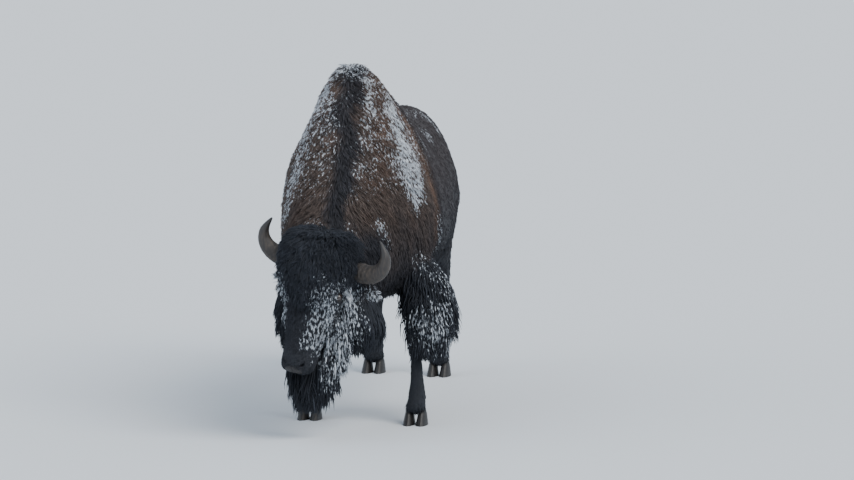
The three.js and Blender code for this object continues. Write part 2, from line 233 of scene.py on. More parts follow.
print("a point at the head's origin comes back as", from_head(in_head(HEAD_PLACE[None]))[0].round(3))

# %% [markdown]
# ## One skin for the whole animal
# The solids of trunk, neck, legs and head meet in hard creases. A real hide runs over them without a
# seam, so copies of the solids are swollen a little until they overlap, joined, and wrapped in one voxel
# remesh. The sockets of eyes and horns are filled for this, or the skin would line them. Each foot gets
# the round coronet that covers the tops of its claws, and a stub of hide for each dew claw.
# The solids reach to the tips of the hair, so the skin is then let in by the depth of the coat: 3 cm
# under the shaggy cape, 1 cm on the flank, almost nothing on the muzzle. The long hair of crown, beard,
# throat and leg chaps keeps a matted core in this skin, so that no daylight shows between its locks.

# %% Which solid is nearest
HARD_STARTS = ("eye", "horn", "forehoof", "hindhoof", "foredewclaw", "hinddewclaw")
SOFT_NODES = [name for name in nodes if not name.startswith(HARD_STARTS)]
FLESH_NODES = [name for name in SOFT_NODES if name != "tail_switch"]


def solids_lookup(names):
    corners, faces, owner = [], [], []
    for number, name in enumerate(names):
        start = sum(len(c) for c in corners)
        corners.append(points_of(nodes[name]))
        for polygon in nodes[name].data.polygons:
            faces.append([start + v for v in polygon.vertices])
            owner.append(number)
    return BVHTree.FromPolygons([Vector(p) for p in np.concatenate(corners)], faces), np.array(owner)


soft_tree, soft_owner = solids_lookup(SOFT_NODES)


def nearest_solid(points):
    """For each point, the number in SOFT_NODES of the solid whose surface is nearest."""
    return soft_owner[[soft_tree.find_nearest(Vector(p))[2] for p in points]]


print("soft solids:", len(SOFT_NODES), "faces:", len(soft_owner))

# %% How deep the skin lies
CAPE_END = 0.34  # where the cape of long hair ends behind the shoulder, in body coordinates
CAPE_DEPTH = 0.034
RIDGE_DEPTH = 0.018  # along the crest of hump and neck
FLANK_DEPTH = 0.013
FACE_DEPTH, MUZZLE_DEPTH, LID_DEPTH = 0.014, 0.003, 0.002
FOOT_DEPTH, UPPER_LEG_DEPTH = 0.005, 0.012
EAR_DEPTH, TAIL_DEPTH = 0.001, 0.008
HAIR_CORE_DEPTH = {"crown_hair": 0.040, "beard": 0.045, "throat_mane": 0.050}
CHAPS_DEPTH = {"chaps_left": 0.055, "chaps_right": 0.072}
HUMP_LEAN = -0.032  # towards the animal's right
EYE_CORNER = np.abs(np.array(EYE_AT))


def ridge_line(body):
    """x of the ridge of hump and neck at each height, in body coordinates."""
    return HUMP_LEAN * ease(body[:, 2], 1.1, 1.7)


def stripe_line(body):
    """x of the dark stripe in the mane, which falls a little to the left of the ridge."""
    return mix(0.018, -0.020, ease(body[:, 2], 1.40, 1.80))


def near_ridge(body):
    return (1 - ease(np.abs(body[:, 0] - ridge_line(body)), 0.02, 0.11)) * ease(body[:, 2], 1.2, 1.5)


def coat_depth(points, owner):
    """How far below the solids' surface the skin lies at each point, in metres."""
    body, head = in_body(points), in_head(points)
    depth = np.full(len(points), FLANK_DEPTH)
    names = np.array(SOFT_NODES)[owner]
    behind = ease(body[:, 1], CAPE_END - 0.10, CAPE_END + 0.06)
    cape = mix(CAPE_DEPTH, RIDGE_DEPTH, near_ridge(body))
    depth = np.where(names == "trunk", mix(cape, FLANK_DEPTH, behind), depth)
    depth = np.where(names == "neck", cape, depth)
    muzzle = ease(-head[:, 2], 0.32, 0.46)
    at_eyes = 1 - ease(np.linalg.norm(np.abs(head) - EYE_CORNER, axis=1), 0.03, 0.09)
    face = mix(mix(FACE_DEPTH, MUZZLE_DEPTH, muzzle), LID_DEPTH, at_eyes)
    depth = np.where(names == "head", face, depth)
    leg = mix(FOOT_DEPTH, UPPER_LEG_DEPTH, ease(body[:, 2], 0.2, 0.8))
    depth = np.where(np.char.find(names, "leg_") >= 0, leg, depth)
    depth = np.where(np.char.startswith(names, "ear"), EAR_DEPTH, depth)
    depth = np.where(names == "tail", TAIL_DEPTH, depth)
    for name, core in {**HAIR_CORE_DEPTH, **CHAPS_DEPTH}.items():
        depth = np.where(names == name, core, depth)
    return depth


print("depth of the coat: cape", CAPE_DEPTH, "ridge", RIDGE_DEPTH, "flank", FLANK_DEPTH)
print("depth of the hair over its core:", {**HAIR_CORE_DEPTH, **CHAPS_DEPTH})

# %% Copies and modifiers
def apply_modifier(obj, kind, **settings):
    activate(obj)
    bpy.ops.object.modifier_add(type=kind)
    modifier = obj.modifiers[-1]
    for name, value in settings.items():
        setattr(modifier, name, value)
    bpy.ops.object.modifier_apply(modifier=modifier.name)


def copied(name, new_name):
    piece = nodes[name].copy()
    piece.data = nodes[name].data.copy()
    piece.name = new_name
    piece.parent = None
    bpy.context.scene.collection.objects.link(piece)
    return piece


def merged_copy(names, new_name, plugs=()):
    pieces = [copied(name, new_name) for name in names] + list(plugs)
    bpy.ops.object.select_all(action="DESELECT")
    for piece in pieces:
        piece.select_set(True)
    bpy.context.view_layer.objects.active = pieces[0]
    bpy.ops.object.join()
    joined = bpy.context.object
    bpy.ops.object.mode_set(mode="EDIT")
    bpy.ops.mesh.select_all(action="SELECT")
    bpy.ops.mesh.remove_doubles(threshold=1e-5)
    bpy.ops.object.mode_set(mode="OBJECT")
    joined.data.materials.clear()
    return joined


print("the skin is wrapped round", len(FLESH_NODES), "solids of flesh")

# %% Plugs for horns and feet
HORN_ROOT = (0.165, 0.024, -0.044)  # in head coordinates
HORN_ROOT_RADIUS = 0.052
CORONET_HEIGHT = 0.088  # the hairy band over the claws
CORONET_HALF_HEIGHT = 0.036
CORONET_BEHIND = 1.13  # its middle, in half-lengths of the claws from their front
STUB_RADII = (0.019, 0.024, 0.023)
STUB_ON_LEG = 0.6  # the stub's middle, as a share of the way from the dew claw to the leg
FEET = ("fore{}_left", "fore{}_right", "hind{}_left", "hind{}_right")


def plug(place, radii):
    bpy.ops.mesh.primitive_ico_sphere_add(subdivisions=3, radius=1.0, location=place, scale=radii)
    bpy.ops.object.transform_apply(location=True, rotation=True, scale=True)
    return bpy.context.object


def horn_plug(side):
    place = HEAD @ Vector((HORN_ROOT[0] * side, HORN_ROOT[1], HORN_ROOT[2]))
    return plug(place, (HORN_ROOT_RADIUS,) * 3)


def coronet_plug(foot):
    inner, outer = (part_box(foot.format("hoof") + word) for word in ("_inner", "_outer"))
    low = Vector(map(min, inner[0], outer[0]))
    high = Vector(map(max, inner[1], outer[1]))
    half = (high - low) / 2
    place = Vector(((low.x + high.x) / 2, low.y + CORONET_BEHIND * half.y, CORONET_HEIGHT))
    return plug(place, (half.x * 0.98, half.y * 0.80, CORONET_HALF_HEIGHT))


def dewclaw_plug(name):
    """A stub of hide on the back of the pastern, which carries the dew claw."""
    middle = middle_of(name)
    on_leg = soft_tree.find_nearest(middle)[0]
    return plug(mix(middle, on_leg, STUB_ON_LEG), STUB_RADII)


print("horn roots of", HORN_ROOT_RADIUS, "m and coronets at", CORONET_HEIGHT, "m over the floor")

# %% The skin
FIRST_VOXEL = 0.013
SKIN_VOXEL = 0.0140
SWELL_TO_JOIN = 0.002
KEEP_FORM = {"pull": 0.5, "push": 0.45}  # relaxes ripples and hardly shrinks the form
BROAD_ROUNDS = 45  # smooths away the facets of trunk and neck


def belongs_to(owner, names):
    """1 for a point whose nearest solid is one of those named, else 0."""
    return np.isin(owner, [SOFT_NODES.index(name) for name in names]).astype(float)


def make_skin():
    plugs = [horn_plug(1), horn_plug(-1)] + [coronet_plug(foot) for foot in FEET]
    plugs += [dewclaw_plug(name) for name in nodes if "dewclaw" in name]
    skin = merged_copy(FLESH_NODES + ["eye_left", "eye_right"], "skin", plugs)
    apply_modifier(skin, "DISPLACE", strength=SWELL_TO_JOIN, mid_level=0.0)
    apply_modifier(skin, "REMESH", mode="VOXEL", voxel_size=FIRST_VOXEL)
    links = neighbours(skin)
    points = relax(points_of(skin), links, 14, **KEEP_FORM)
    owner = nearest_solid(points)
    beside_crest = ease(np.abs(in_body(points)[:, 0] - HUMP_LEAN), 0.08, 0.22)
    crest = (1 - beside_crest) * ease(points[:, 2], 1.15, 1.45)
    broad = relax(belongs_to(owner, ("trunk", "neck")), links, 10)
    broad = (broad[:, None] ** 2) * (1 - 0.80 * crest[:, None])
    hair_core = relax(belongs_to(owner, HAIR_CORE_DEPTH), links, 6)[:, None]
    points = relax(points, links, BROAD_ROUNDS, weight=broad)
    depth = relax(coat_depth(points, owner), links, 12)
    set_points(skin, points)
    normals = relax(normals_of(skin), links, 6)
    normals /= np.linalg.norm(normals, axis=1, keepdims=True)
    points = points - normals * depth[:, None]
    set_points(skin, relax(points, links, 12, weight=np.maximum(broad, hair_core)))
    apply_modifier(skin, "REMESH", mode="VOXEL", voxel_size=SKIN_VOXEL)
    links = neighbours(skin)
    set_points(skin, relax(points_of(skin), links, 10, **KEEP_FORM))
    return skin


skin = make_skin()
print("skin:", len(skin.data.vertices), "points")

# %% [markdown]
# ## Muscles and bones under the hide
# Under a winter coat the anatomy is soft, but the hips, the hollow of the flank, the shoulder blade and
# the thigh still show in the light. Each is a low hill or hollow: the skin moves along its normal by a
# height that fades out with distance from a landmark. A table of landmarks is easier to judge and to
# correct than sculpting strokes.

# %% Landmarks of the body
# place of the left one in body coordinates, radius, height (metres); the right one is its mirror image
LANDMARKS = [
    ((0.215, 1.360, 1.350), 0.100, 0.024),  # point of the hip
    ((0.100, 1.830, 1.250), 0.080, 0.012),  # pin bone
    ((0.300, 1.150, 1.150), 0.170, -0.032),  # hollow of the flank
    ((0.330, 0.900, 1.000), 0.260, 0.012),  # last ribs
    ((0.260, 1.610, 1.010), 0.160, 0.022),  # thigh muscle
    ((0.250, 1.400, 0.930), 0.110, 0.012),  # stifle
    ((0.200, 1.780, 0.900), 0.110, -0.012),  # groove behind the thigh
    ((0.370, 0.120, 1.120), 0.200, 0.014),  # shoulder blade
    ((0.360, 0.060, 0.820), 0.120, 0.014),  # elbow
    ((0.350, 0.300, 0.760), 0.110, -0.018),  # behind the elbow
    ((0.000, 1.500, 1.440), 0.140, -0.006),  # hollow between the hips
    ((0.000, 0.140, 1.700), 0.170, 0.022),  # crest of the hump
    ((0.110, 0.120, 1.670), 0.110, 0.010),  # either side of the crest
    ((0.300, -0.020, 1.300), 0.170, 0.016),  # broadest part of the cape
]


def hills(points, landmarks):
    height = np.zeros(len(points))
    for place, radius, rise in landmarks:
        for side in (1, -1) if place[0] else (1,):
            centre = np.array(place) * [side, 1, 1]
            distance = np.linalg.norm(points - centre, axis=1) / radius
            height += rise * np.exp(-1.4 * distance**2)
    return height


points = points_of(skin)
lift = hills(in_body(points), LANDMARKS)
set_points(skin, points + normals_of(skin) * lift[:, None])
print("landmarks move the skin by", round(lift.min() * 1000, 1), "to", round(lift.max() * 1000, 1), "mm")

# %% [markdown]
# ## A finer mesh where the face is
# The whole skin has one mesh width, a little over a centimetre, which is plenty under the fur but too
# coarse for lids and nostrils. So the faces of the head are cut into four once, those round the eyes
# and on the muzzle a second time, and those nearest the eyes a third time, before anything is sculpted
# there.

# %% Finer faces on the head
FACE_TOP, FACE_END = -0.04, -0.66  # z in head coordinates
ORBIT_RADIUS, LIDS_RADIUS = 0.062, 0.042


def subdivide_where(obj, chosen):
    """chosen says, for each face, whether it is cut into four."""
    activate(obj)
    bpy.context.tool_settings.mesh_select_mode = (False, False, True)
    bpy.ops.object.mode_set(mode="EDIT")
    bpy.ops.mesh.select_all(action="DESELECT")
    bpy.ops.object.mode_set(mode="OBJECT")
    obj.data.polygons.foreach_set("select", chosen)
    bpy.ops.object.mode_set(mode="EDIT")
    bpy.ops.mesh.subdivide(number_cuts=1, smoothness=0.0)
    bpy.ops.object.mode_set(mode="OBJECT")


def face_centres(obj):
    return read_all(obj.data.polygons, "center", 3).astype(float)


def on_face(head):
    across, ahead = np.abs(head[:, 0]), head[:, 1]
    return (across < 0.20) & (ahead < 0.11) & (head[:, 2] < FACE_TOP) & (head[:, 2] > FACE_END)


def eye_distance(head):
    """Distance from the middle of the nearer eye."""
    mirrored = np.stack([np.abs(head[:, 0]), head[:, 1], head[:, 2]], axis=1)
    return np.linalg.norm(mirrored - np.array(EYE_AT), axis=1)


def on_muzzle(head):
    return on_face(head) & (head[:, 2] < -0.43) & (head[:, 1] < 0.09)


def on_ear(head):
    close = (np.abs(head[:, 0]) > 0.15) & (head[:, 1] > 0.03) & (head[:, 1] < 0.20)
    close &= np.abs(head[:, 2] + 0.13) < 0.12
    ears = [SOFT_NODES.index(name) for name in ("ear_left", "ear_right")]
    close[close] = np.isin(nearest_solid(from_head(head[close])), ears)
    return close


def refine_head(skin):
    head = in_head(face_centres(skin))
    subdivide_where(skin, on_face(head) | on_ear(head))
    links = neighbours(skin)
    inside = on_face(in_head(points_of(skin)))[:, None].astype(float)
    set_points(skin, relax(points_of(skin), links, 6, pull=0.5, push=0.3, weight=inside))
    head = in_head(face_centres(skin))
    subdivide_where(skin, (eye_distance(head) < ORBIT_RADIUS) | on_muzzle(head))
    head = in_head(face_centres(skin))
    subdivide_where(skin, eye_distance(head) < LIDS_RADIUS)


refine_head(skin)
print("skin after the finer head:", len(skin.data.polygons), "faces")

# %% [markdown]
# ## Lids over the eyes
# An eye reads as real when the lids wrap the ball closely and the opening is an almond, lower at the
# corner by the nose. Round each eye the skin is described by direction and distance from the ball's
# middle. Inside the almond it goes behind the ball. Round the almond it becomes a shell just over the
# ball, with a thick rim, and further out it passes back into the face.

# %% Eyelids
EYE_RADIUS = 0.0200
EYE_SINK = 0.006  # the ball lies this much deeper than its solid's middle
LID_THICKNESS = 0.0022
LID_HALF_LENGTH = 0.86  # of the almond, as a share of the ball's radius
LID_HALF_HEIGHT = 0.56
SOCKET_SHARE = 0.72  # the skin behind the ball, as a share of the ball's radius
EYE_OUTWARD = Vector((0.88, -0.44, -0.14)).normalized()
TO_THE_NOSE = Vector((0, -0.42, -0.90))
EYE_ALONG = (TO_THE_NOSE - EYE_OUTWARD * TO_THE_NOSE.dot(EYE_OUTWARD)).normalized()


def eye_axes(side):
    """In the head: the ball's middle, outward, along the opening to the nose, and across it."""
    middle = np.array(EYE_AT) - np.array([EYE_SINK, 0, 0])
    flip = np.array([side, 1, 1])
    outward, along = np.array(EYE_OUTWARD), np.array(EYE_ALONG)
    return middle * flip, outward * flip, along * flip, np.cross(outward, along) * flip


def sculpt_eye(head, side):
    middle, outward, along, across = eye_axes(side)
    offset = head - middle
    distance = np.linalg.norm(offset, axis=1)
    direction = offset / np.maximum(distance, 1e-6)[:, None]
    facing, u, v = direction @ outward, direction @ along, direction @ across
    room = np.clip(1 - (u / LID_HALF_LENGTH) ** 2, 0.02, 1)
    opening = np.maximum(np.abs(v) / (LID_HALF_HEIGHT * room**0.75), 1.3 * ease(np.abs(u), 0.7, 0.9))
    shell = EYE_RADIUS + LID_THICKNESS
    rim = 0.0016 * np.exp(-(((opening - 1.15) / 0.16) ** 2))
    crease = -0.0020 * np.exp(-(((opening - 1.9) / 0.2) ** 2))
    wanted = mix(EYE_RADIUS * SOCKET_SHARE, shell + rim + crease, ease(opening, 0.93, 1.07))
    near_eye = ease(facing, 0.10, 0.50) * (distance < 0.06)
    radius = mix(distance, wanted, near_eye)
    return middle + direction * radius[:, None]


# of the same kind as LANDMARKS, in head coordinates
FACE_LANDMARKS = [
    ((0.156, -0.078, -0.190), 0.056, 0.014),  # the bulge that carries the eye
    ((0.150, -0.125, -0.160), 0.034, 0.006),  # brow
    ((0.152, -0.030, -0.215), 0.034, 0.004),  # lower rim of the orbit
    ((0.118, -0.115, -0.250), 0.036, -0.006),  # tear groove
    ((0.120, 0.010, -0.300), 0.060, 0.006),  # cheek bone
    ((0.105, 0.040, -0.400), 0.060, -0.008),  # hollow before the cheek
    ((0.070, -0.070, -0.585), 0.030, 0.004),  # wing of the nostril
    ((0.060, 0.045, -0.560), 0.034, -0.007),  # between lip and chin
    ((0.000, -0.118, -0.480), 0.030, 0.004),  # end of the nose bone
]

lift = hills(in_head(points_of(skin)), FACE_LANDMARKS)
set_points(skin, points_of(skin) + normals_of(skin) * lift[:, None])
head = in_head(points_of(skin))
for side in (1, -1):
    this_side = head[:, 0] * side > 0
    head[this_side] = sculpt_eye(head[this_side], side)
set_points(skin, from_head(head))
print("eyes lie at", [from_head(eye_axes(side)[0][None])[0].round(3) for side in (1, -1)])

# %% [markdown]
# ## Nostrils, lips and ears
# A nostril is a comma-shaped pit with a raised wing, the mouth a soft crease that runs back from the
# front of the lips, and the ear a leaf, hollow in front. They are pressed into the fine mesh by formulas
# on distances, measured along the face and across it.

# %% Nostrils
NOSTRIL_AT = (0.052, -0.108, -0.562)
NOSTRIL_HALF_LENGTH = 0.019
NOSTRIL_HALF_WIDTH = 0.0105
NOSTRIL_DEPTH = 0.020
NOSTRIL_WING = 0.0035
NOSTRIL_BEND = 0.35


def sculpt_nostril(head, normals, side):
    centre = np.array(NOSTRIL_AT) * [side, 1, 1]
    nearest = np.linalg.norm(head - centre, axis=1).argsort()[:40]
    middle, outward = head[nearest[0]], normals[nearest].mean(0)
    outward /= np.linalg.norm(outward)
    along = np.array([side * 0.62, 0.30, 0.72])  # the slit opens to the side and up the face
    along -= outward * (along @ outward)
    along /= np.linalg.norm(along)
    across = np.cross(outward, along)
    offset = head - middle
    u, v = offset @ along, offset @ across
    v = v - side * NOSTRIL_BEND * u**2 / NOSTRIL_HALF_LENGTH  # makes the slit a comma
    share = np.sqrt((u / NOSTRIL_HALF_LENGTH) ** 2 + (v / NOSTRIL_HALF_WIDTH) ** 2)
    close = np.abs(offset @ outward) < 0.03
    pit = -NOSTRIL_DEPTH * (1 - ease(share, 0.35, 1.05))
    wing = NOSTRIL_WING * np.exp(-(((share - 1.3) / 0.3) ** 2))
    return outward * ((pit + wing) * close)[:, None]


def head_normals():
    return normals_of(skin) @ HEAD_TURN


head = in_head(points_of(skin))
facing = head_normals()
head = head + sculpt_nostril(head, facing, 1) + sculpt_nostril(head, facing, -1)
set_points(skin, from_head(head))
print("nostrils", NOSTRIL_AT)

# %% Mouth
MOUTH_HEIGHT = 0.012  # y of the crease at the front of the lips
MOUTH_CORNER = -0.455  # z where it ends on the cheek
CREASE_HALF_WIDTH = 0.0055
CREASE_DEPTH, LIP_RISE, LIP_GROOVE_DEPTH = 0.0075, 0.0022, 0.0025


def sculpt_mouth(head, normals):
    back = ease(head[:, 2], -0.57, MOUTH_CORNER)
    line = MOUTH_HEIGHT + 0.016 * back
    offset = (head[:, 1] - line) / CREASE_HALF_WIDTH
    here = on_face(head) * (1 - ease(head[:, 2], MOUTH_CORNER - 0.03, MOUTH_CORNER))
    crease = -CREASE_DEPTH * np.exp(-(offset**2)) + LIP_RISE * np.exp(-((np.abs(offset) - 2.3) ** 2))
    groove = -LIP_GROOVE_DEPTH * np.exp(-((head[:, 0] / 0.004) ** 2))
    groove *= (head[:, 2] < -0.575) * (head[:, 1] < line)
    return normals * ((crease + groove) * here)[:, None]


head = in_head(points_of(skin))
set_points(skin, from_head(head + sculpt_mouth(head, head_normals())))
print("the mouth's crease ends on the cheek at z", MOUTH_CORNER)

# %% Ears
EAR_HOLLOW = 0.008
EAR_THINNING = 0.001


def sculpt_ears(head, normals):
    moved = np.zeros_like(head)
    for side in (1, -1):
        ear = on_ear(head) & (head[:, 0] * side > 0)
        middle = head[ear].mean(0)
        spread = np.linalg.svd(head[ear] - middle, full_matrices=False)[2]
        flat = spread[2] * (-1 if spread[2][1] > 0 else 1)  # the hollow side faces forward
        offset = head - middle
        across = np.abs(offset @ spread[1]) / (2.0 * np.abs((head[ear] - middle) @ spread[1]).mean())
        inner = ease(normals @ flat, 0.1, 0.7) * (1 - ease(across, 0.45, 0.9))
        moved -= flat * (EAR_HOLLOW * inner * ear)[:, None]
        moved -= normals * (EAR_THINNING * ear)[:, None]
    return moved


head = in_head(points_of(skin))
set_points(skin, from_head(head + sculpt_ears(head, head_normals())))
print("skin:", len(skin.data.polygons), "faces")

# %% [markdown]
# ## Markings
# The colour of the coat is described once, by masks on places in the body's and the head's frame, and
# both the skin and every lock of hair read the same masks. So bare skin never shows as a wrong colour
# between the locks. Four masks are enough: how dark, how rusty, how snowy, and how sleek the hair is.
# The mask of dark also holds painted shade, low on trunk and neck and under the lowered head.
# Smooth waves of many directions, added together, keep every boundary uneven.

# %% Waves that break up a boundary
WAVE_COUNT = 7


def waves(points, size, seed):
    """A smooth, uneven field between about -1 and 1. size is the length of its waves in metres."""
    rng = np.random.default_rng(seed)
    total = np.zeros(len(points))
    for _ in range(WAVE_COUNT):
        direction = rng.normal(size=3)
        direction *= 2 * math.pi / (size * rng.uniform(0.6, 1.7) * np.linalg.norm(direction))
        total += np.sin(points @ direction + rng.uniform(0, 2 * math.pi))
    return total / math.sqrt(WAVE_COUNT)


def blob(points, centre, radii):
    """1 at the centre of a soft ellipsoid and 0 well outside it."""
    share = (points - np.array(centre)) / np.array(radii)
    return np.exp(-1.2 * (share**2).sum(axis=1))


print("a wave at three points:", waves(np.eye(3), 0.2, 1).round(2))

# %% How dark, how sleek and how rusty
STRIPE_HALF_WIDTH = 0.042  # of the dark stripe down the mane


def names_at(points):
    return np.array(SOFT_NODES)[nearest_solid(points)]


def is_one_of(names, *starts):
    return np.any([np.char.startswith(names, start) for start in starts], axis=0)


def how_dark(body, names):
    """Crown, beard, chaps, tail switch, lower legs and the stripe down the mane are nearly black.
    Painted shade darkens trunk and neck low down and under the lowered head.
    """
    off_line = np.abs(body[:, 0] - stripe_line(body) + 0.012 * waves(body, 0.25, 3))
    stripe = 1 - ease(off_line, 0.4 * STRIPE_HALF_WIDTH, 1.5 * STRIPE_HALF_WIDTH)
    stripe *= 1 - ease(body[:, 1], 0.0, 0.35)
    stripe *= ease(body[:, 2], 0.8, 1.0)
    dark = np.where(is_one_of(names, "neck", "trunk"), 0.85 * stripe, 0)
    # painted shade: trunk and neck grow darker low down and under the lowered head
    low = 1 - ease(body[:, 2] + 0.04 * waves(body, 0.2, 5), 0.72, 1.26)
    left, right = (blob(body, (side * 0.17, -0.57, 0.92), (0.17, 0.22, 0.19)) for side in (1, -1))
    behind_head = ease(np.maximum(left, right), 0.25, 0.7)
    shadowed = np.maximum(0.88 * low, 0.9 * behind_head)
    dark = np.maximum(dark, shadowed * is_one_of(names, "trunk", "neck"))
    dark = np.where(is_one_of(names, "crown", "beard", "chaps", "throat"), 1.0, dark)
    dark = np.where(names == "head", 0.95, dark)
    dark = np.where(is_one_of(names, "ear"), 0.8, dark)
    leg = mix(1.0, 0.45, ease(body[:, 2], 0.45, 0.95))
    dark = np.where(is_one_of(names, "foreleg", "hindleg"), leg, dark)
    return np.where(is_one_of(names, "tail"), mix(1.0, 0.4, ease(body[:, 2], 0.95, 1.2)), dark)


def how_sleek(body, names):
    """1 on the short smooth coat behind the cape."""
    edge = CAPE_END + 0.035 * waves(body, 0.22, 11) + 0.012 * waves(body, 0.05, 13)
    behind = ease(body[:, 1] - edge, -0.07, 0.07)
    return np.where(names == "trunk", behind, np.where(is_one_of(names, "tail", "hindleg"), 1.0, 0.0))


def how_rusty(body, names, sleek):
    """Warm on top and at the edge of the cape."""
    edge = np.exp(-(((body[:, 1] - CAPE_END + 0.06) / 0.10) ** 2)) * ease(body[:, 2], 0.8, 1.1)
    top = 0.35 * ease(body[:, 2], 1.2, 1.7)
    rusty = np.maximum(edge, top) * (1 - sleek) + 0.25 * waves(body, 0.18, 17)
    return np.clip(np.where(is_one_of(names, "trunk", "neck"), rusty, 0.0), 0, 1)


# %% [markdown]
# ## Powder snow
# Snow that falls on a shaggy coat is caught by its hair, and lies there in drifts. Each drift is a line
# over the body: its points, its half-width and its thickness, from 0 to 1. A table of such lines is easy
# to change, and the distance from a line gives the drift a soft edge. On the cape a thin dusting is added
# between the drifts, and the stripe down the mane stays nearly bare.

# %% Snow
SNOW_LINES = [
    (((0.00, 0.20, 1.79), (-0.09, 0.06, 1.68), (-0.15, -0.08, 1.53)), 0.120, 0.78),
    (
        ((-0.14, -0.10, 1.53), (-0.19, -0.20, 1.40), (-0.23, -0.27, 1.25), (-0.23, -0.33, 1.13)),
        0.105, 0.56,
    ),
    (((0.02, 0.24, 1.78), (0.09, 0.28, 1.66), (0.15, 0.20, 1.58)), 0.100, 0.66),
    (((-0.07, 0.15, 1.76), (0.06, 0.15, 1.76)), 0.065, 0.52),
    (((0.03, 0.02, 1.72), (0.06, -0.08, 1.60)), 0.055, 0.62),
    (((0.06, 0.05, 1.66), (0.14, -0.02, 1.56), (0.19, -0.14, 1.41), (0.22, -0.20, 1.32)), 0.085, 0.34),
    (((0.14, 0.09, 1.61), (0.21, 0.04, 1.47), (0.25, -0.03, 1.36), (0.285, -0.08, 1.26)), 0.120, 0.82),
    (((0.285, -0.08, 1.26), (0.31, -0.11, 1.17)), 0.070, 0.58),
    (((0.20, -0.52, 1.08), (0.24, -0.48, 1.03)), 0.038, 0.58),
    (((0.01, -0.55, 1.23), (0.04, -0.53, 1.21)), 0.050, 0.16),
    (((-0.14, -0.65, 1.09), (0.10, -0.66, 1.08)), 0.030, 0.20),
    (((0.37, 0.33, 1.02), (0.37, 0.41, 0.90), (0.35, 0.30, 0.86)), 0.038, 0.34),
    (((0.36, -0.05, 0.86), (0.43, 0.02, 0.76)), 0.075, 0.25),
    (((0.365, -0.13, 0.66), (0.365, -0.13, 0.56)), 0.020, 0.55),
    (((0.43, -0.09, 0.67), (0.425, -0.12, 0.57), (0.42, -0.12, 0.52)), 0.045, 0.47),
    (((0.46, -0.04, 0.54), (0.47, -0.03, 0.51)), 0.026, 0.80),
    (((0.20, 0.55, 1.42), (0.26, 0.57, 1.36)), 0.060, 0.30),
    (((0.02, 0.95, 1.49), (0.10, 1.30, 1.46), (0.16, 1.50, 1.42)), 0.055, 0.34),
    (((0.10, 1.42, 1.40), (0.15, 1.52, 1.34)), 0.050, 0.46),
    (((0.17, 1.02, 1.36), (0.19, 1.18, 1.33)), 0.045, 0.32),
    (
        ((-0.10, 0.30, 1.66), (-0.22, 0.16, 1.48), (-0.30, 0.04, 1.28), (-0.34, -0.05, 1.12)),
        0.090, 0.52,
    ),
]


def near_line(points, line, half_width):
    closest = np.full(len(points), 1e9)
    for a, b in zip(np.array(line), np.array(line)[1:]):
        t = np.clip((points - a) @ (b - a) / ((b - a) @ (b - a)), 0, 1)
        closest = np.minimum(closest, np.linalg.norm(points - a - t[:, None] * (b - a), axis=1))
    return 1 - ease(closest / half_width, 0.30, 1.55)


def snow_on_face(head):
    """Caked on the left cheek and the long hair beside it, and lighter on the right one."""
    patchy = waves(head, 0.06, 51)
    reach = (1 - ease(-head[:, 2] + 0.03 * patchy, 0.42, 0.53)) * (1 - ease(head[:, 1], 0.17, 0.28))
    # the dark bridge of the nose is wider above
    nose = 0.030 + 0.010 * patchy + 0.03 * ease(head[:, 2], -0.30, -0.20)
    cheek = ease(head[:, 0] - nose, -0.040, 0.050) * ease(-head[:, 2] + 0.02 * patchy, 0.03, 0.15)
    temple = blob(head, (0.160, -0.01, -0.12), (0.06, 0.10, 0.06))
    right = 0.50 * ease(-head[:, 0], 0.080, 0.13) * ease(-head[:, 2], 0.05, 0.16)
    left = np.maximum(0.53 * cheek, 0.72 * ease(temple, 0.3, 0.7))
    off_eye = 0.25 + 0.75 * ease(eye_distance(head), 0.032, 0.055)
    return np.maximum(left, right) * reach * off_eye * np.clip(1 + 0.20 * patchy, 0, 1.25)


def how_snowy(points):
    body, head = in_body(points), in_head(points)
    snow = snow_on_face(head) * (np.linalg.norm(head - [0, 0, -0.25], axis=1) < 0.45)
    patchy = np.clip(0.85 + 0.35 * waves(body, 0.11, 53), 0, 1.2)
    for line, half_width, amount in SNOW_LINES:
        snow = np.maximum(snow, amount * near_line(body, line, half_width) * patchy)
    off_line = np.abs(body[:, 0] - stripe_line(body))
    bare_stripe = (1 - ease(off_line, 0.022, 0.055)) * (body[:, 1] < 0.3) * (body[:, 2] > 1.0)
    bare_stripe *= 1 - 0.7 * ease(body[:, 2], 1.735, 1.775)
    dusted = 0.30 * ease(body[:, 2], 1.10, 1.45) + 0.08 * ease(body[:, 2], 1.50, 1.68)
    dusted *= (1 - ease(body[:, 1], 0.2, 0.5)) * patchy
    return np.maximum(snow, dusted) * (1 - 0.85 * bare_stripe)


print("drifts of snow:", len(SNOW_LINES))

# %% The four masks together
def markings(points, names):
    """Columns dark, rusty, snowy, sleek."""
    body = in_body(points)
    sleek = how_sleek(body, names)
    marks = [how_dark(body, names), how_rusty(body, names, sleek), how_snowy(points), sleek]
    return np.clip(np.stack(marks, axis=1), 0, 1)


skin_names = names_at(points_of(skin))
skin_marks = markings(points_of(skin), skin_names)
for column, word in enumerate(("dark", "rusty", "snowy", "sleek")):
    print(word, "covers", round(100 * float(skin_marks[:, column].mean())), "% of the skin's points")

# %% Bare skin of muzzle and lids
def how_bare(head):
    """1 on the wet nose and the lids, and less on the lips."""
    nose = ease(blob(head, (0, -0.085, -0.615), (0.072, 0.050, 0.050)), 0.30, 0.48)
    lids = 1 - ease(eye_distance(head), 0.022, 0.028)
    lips = np.exp(-(((head[:, 1] - MOUTH_HEIGHT) / 0.012) ** 2))
    lips = lips * ease(-head[:, 2], 0.50, 0.56) * on_face(head)
    return np.clip(np.maximum.reduce([nose, lids, 0.8 * lips]), 0, 1)


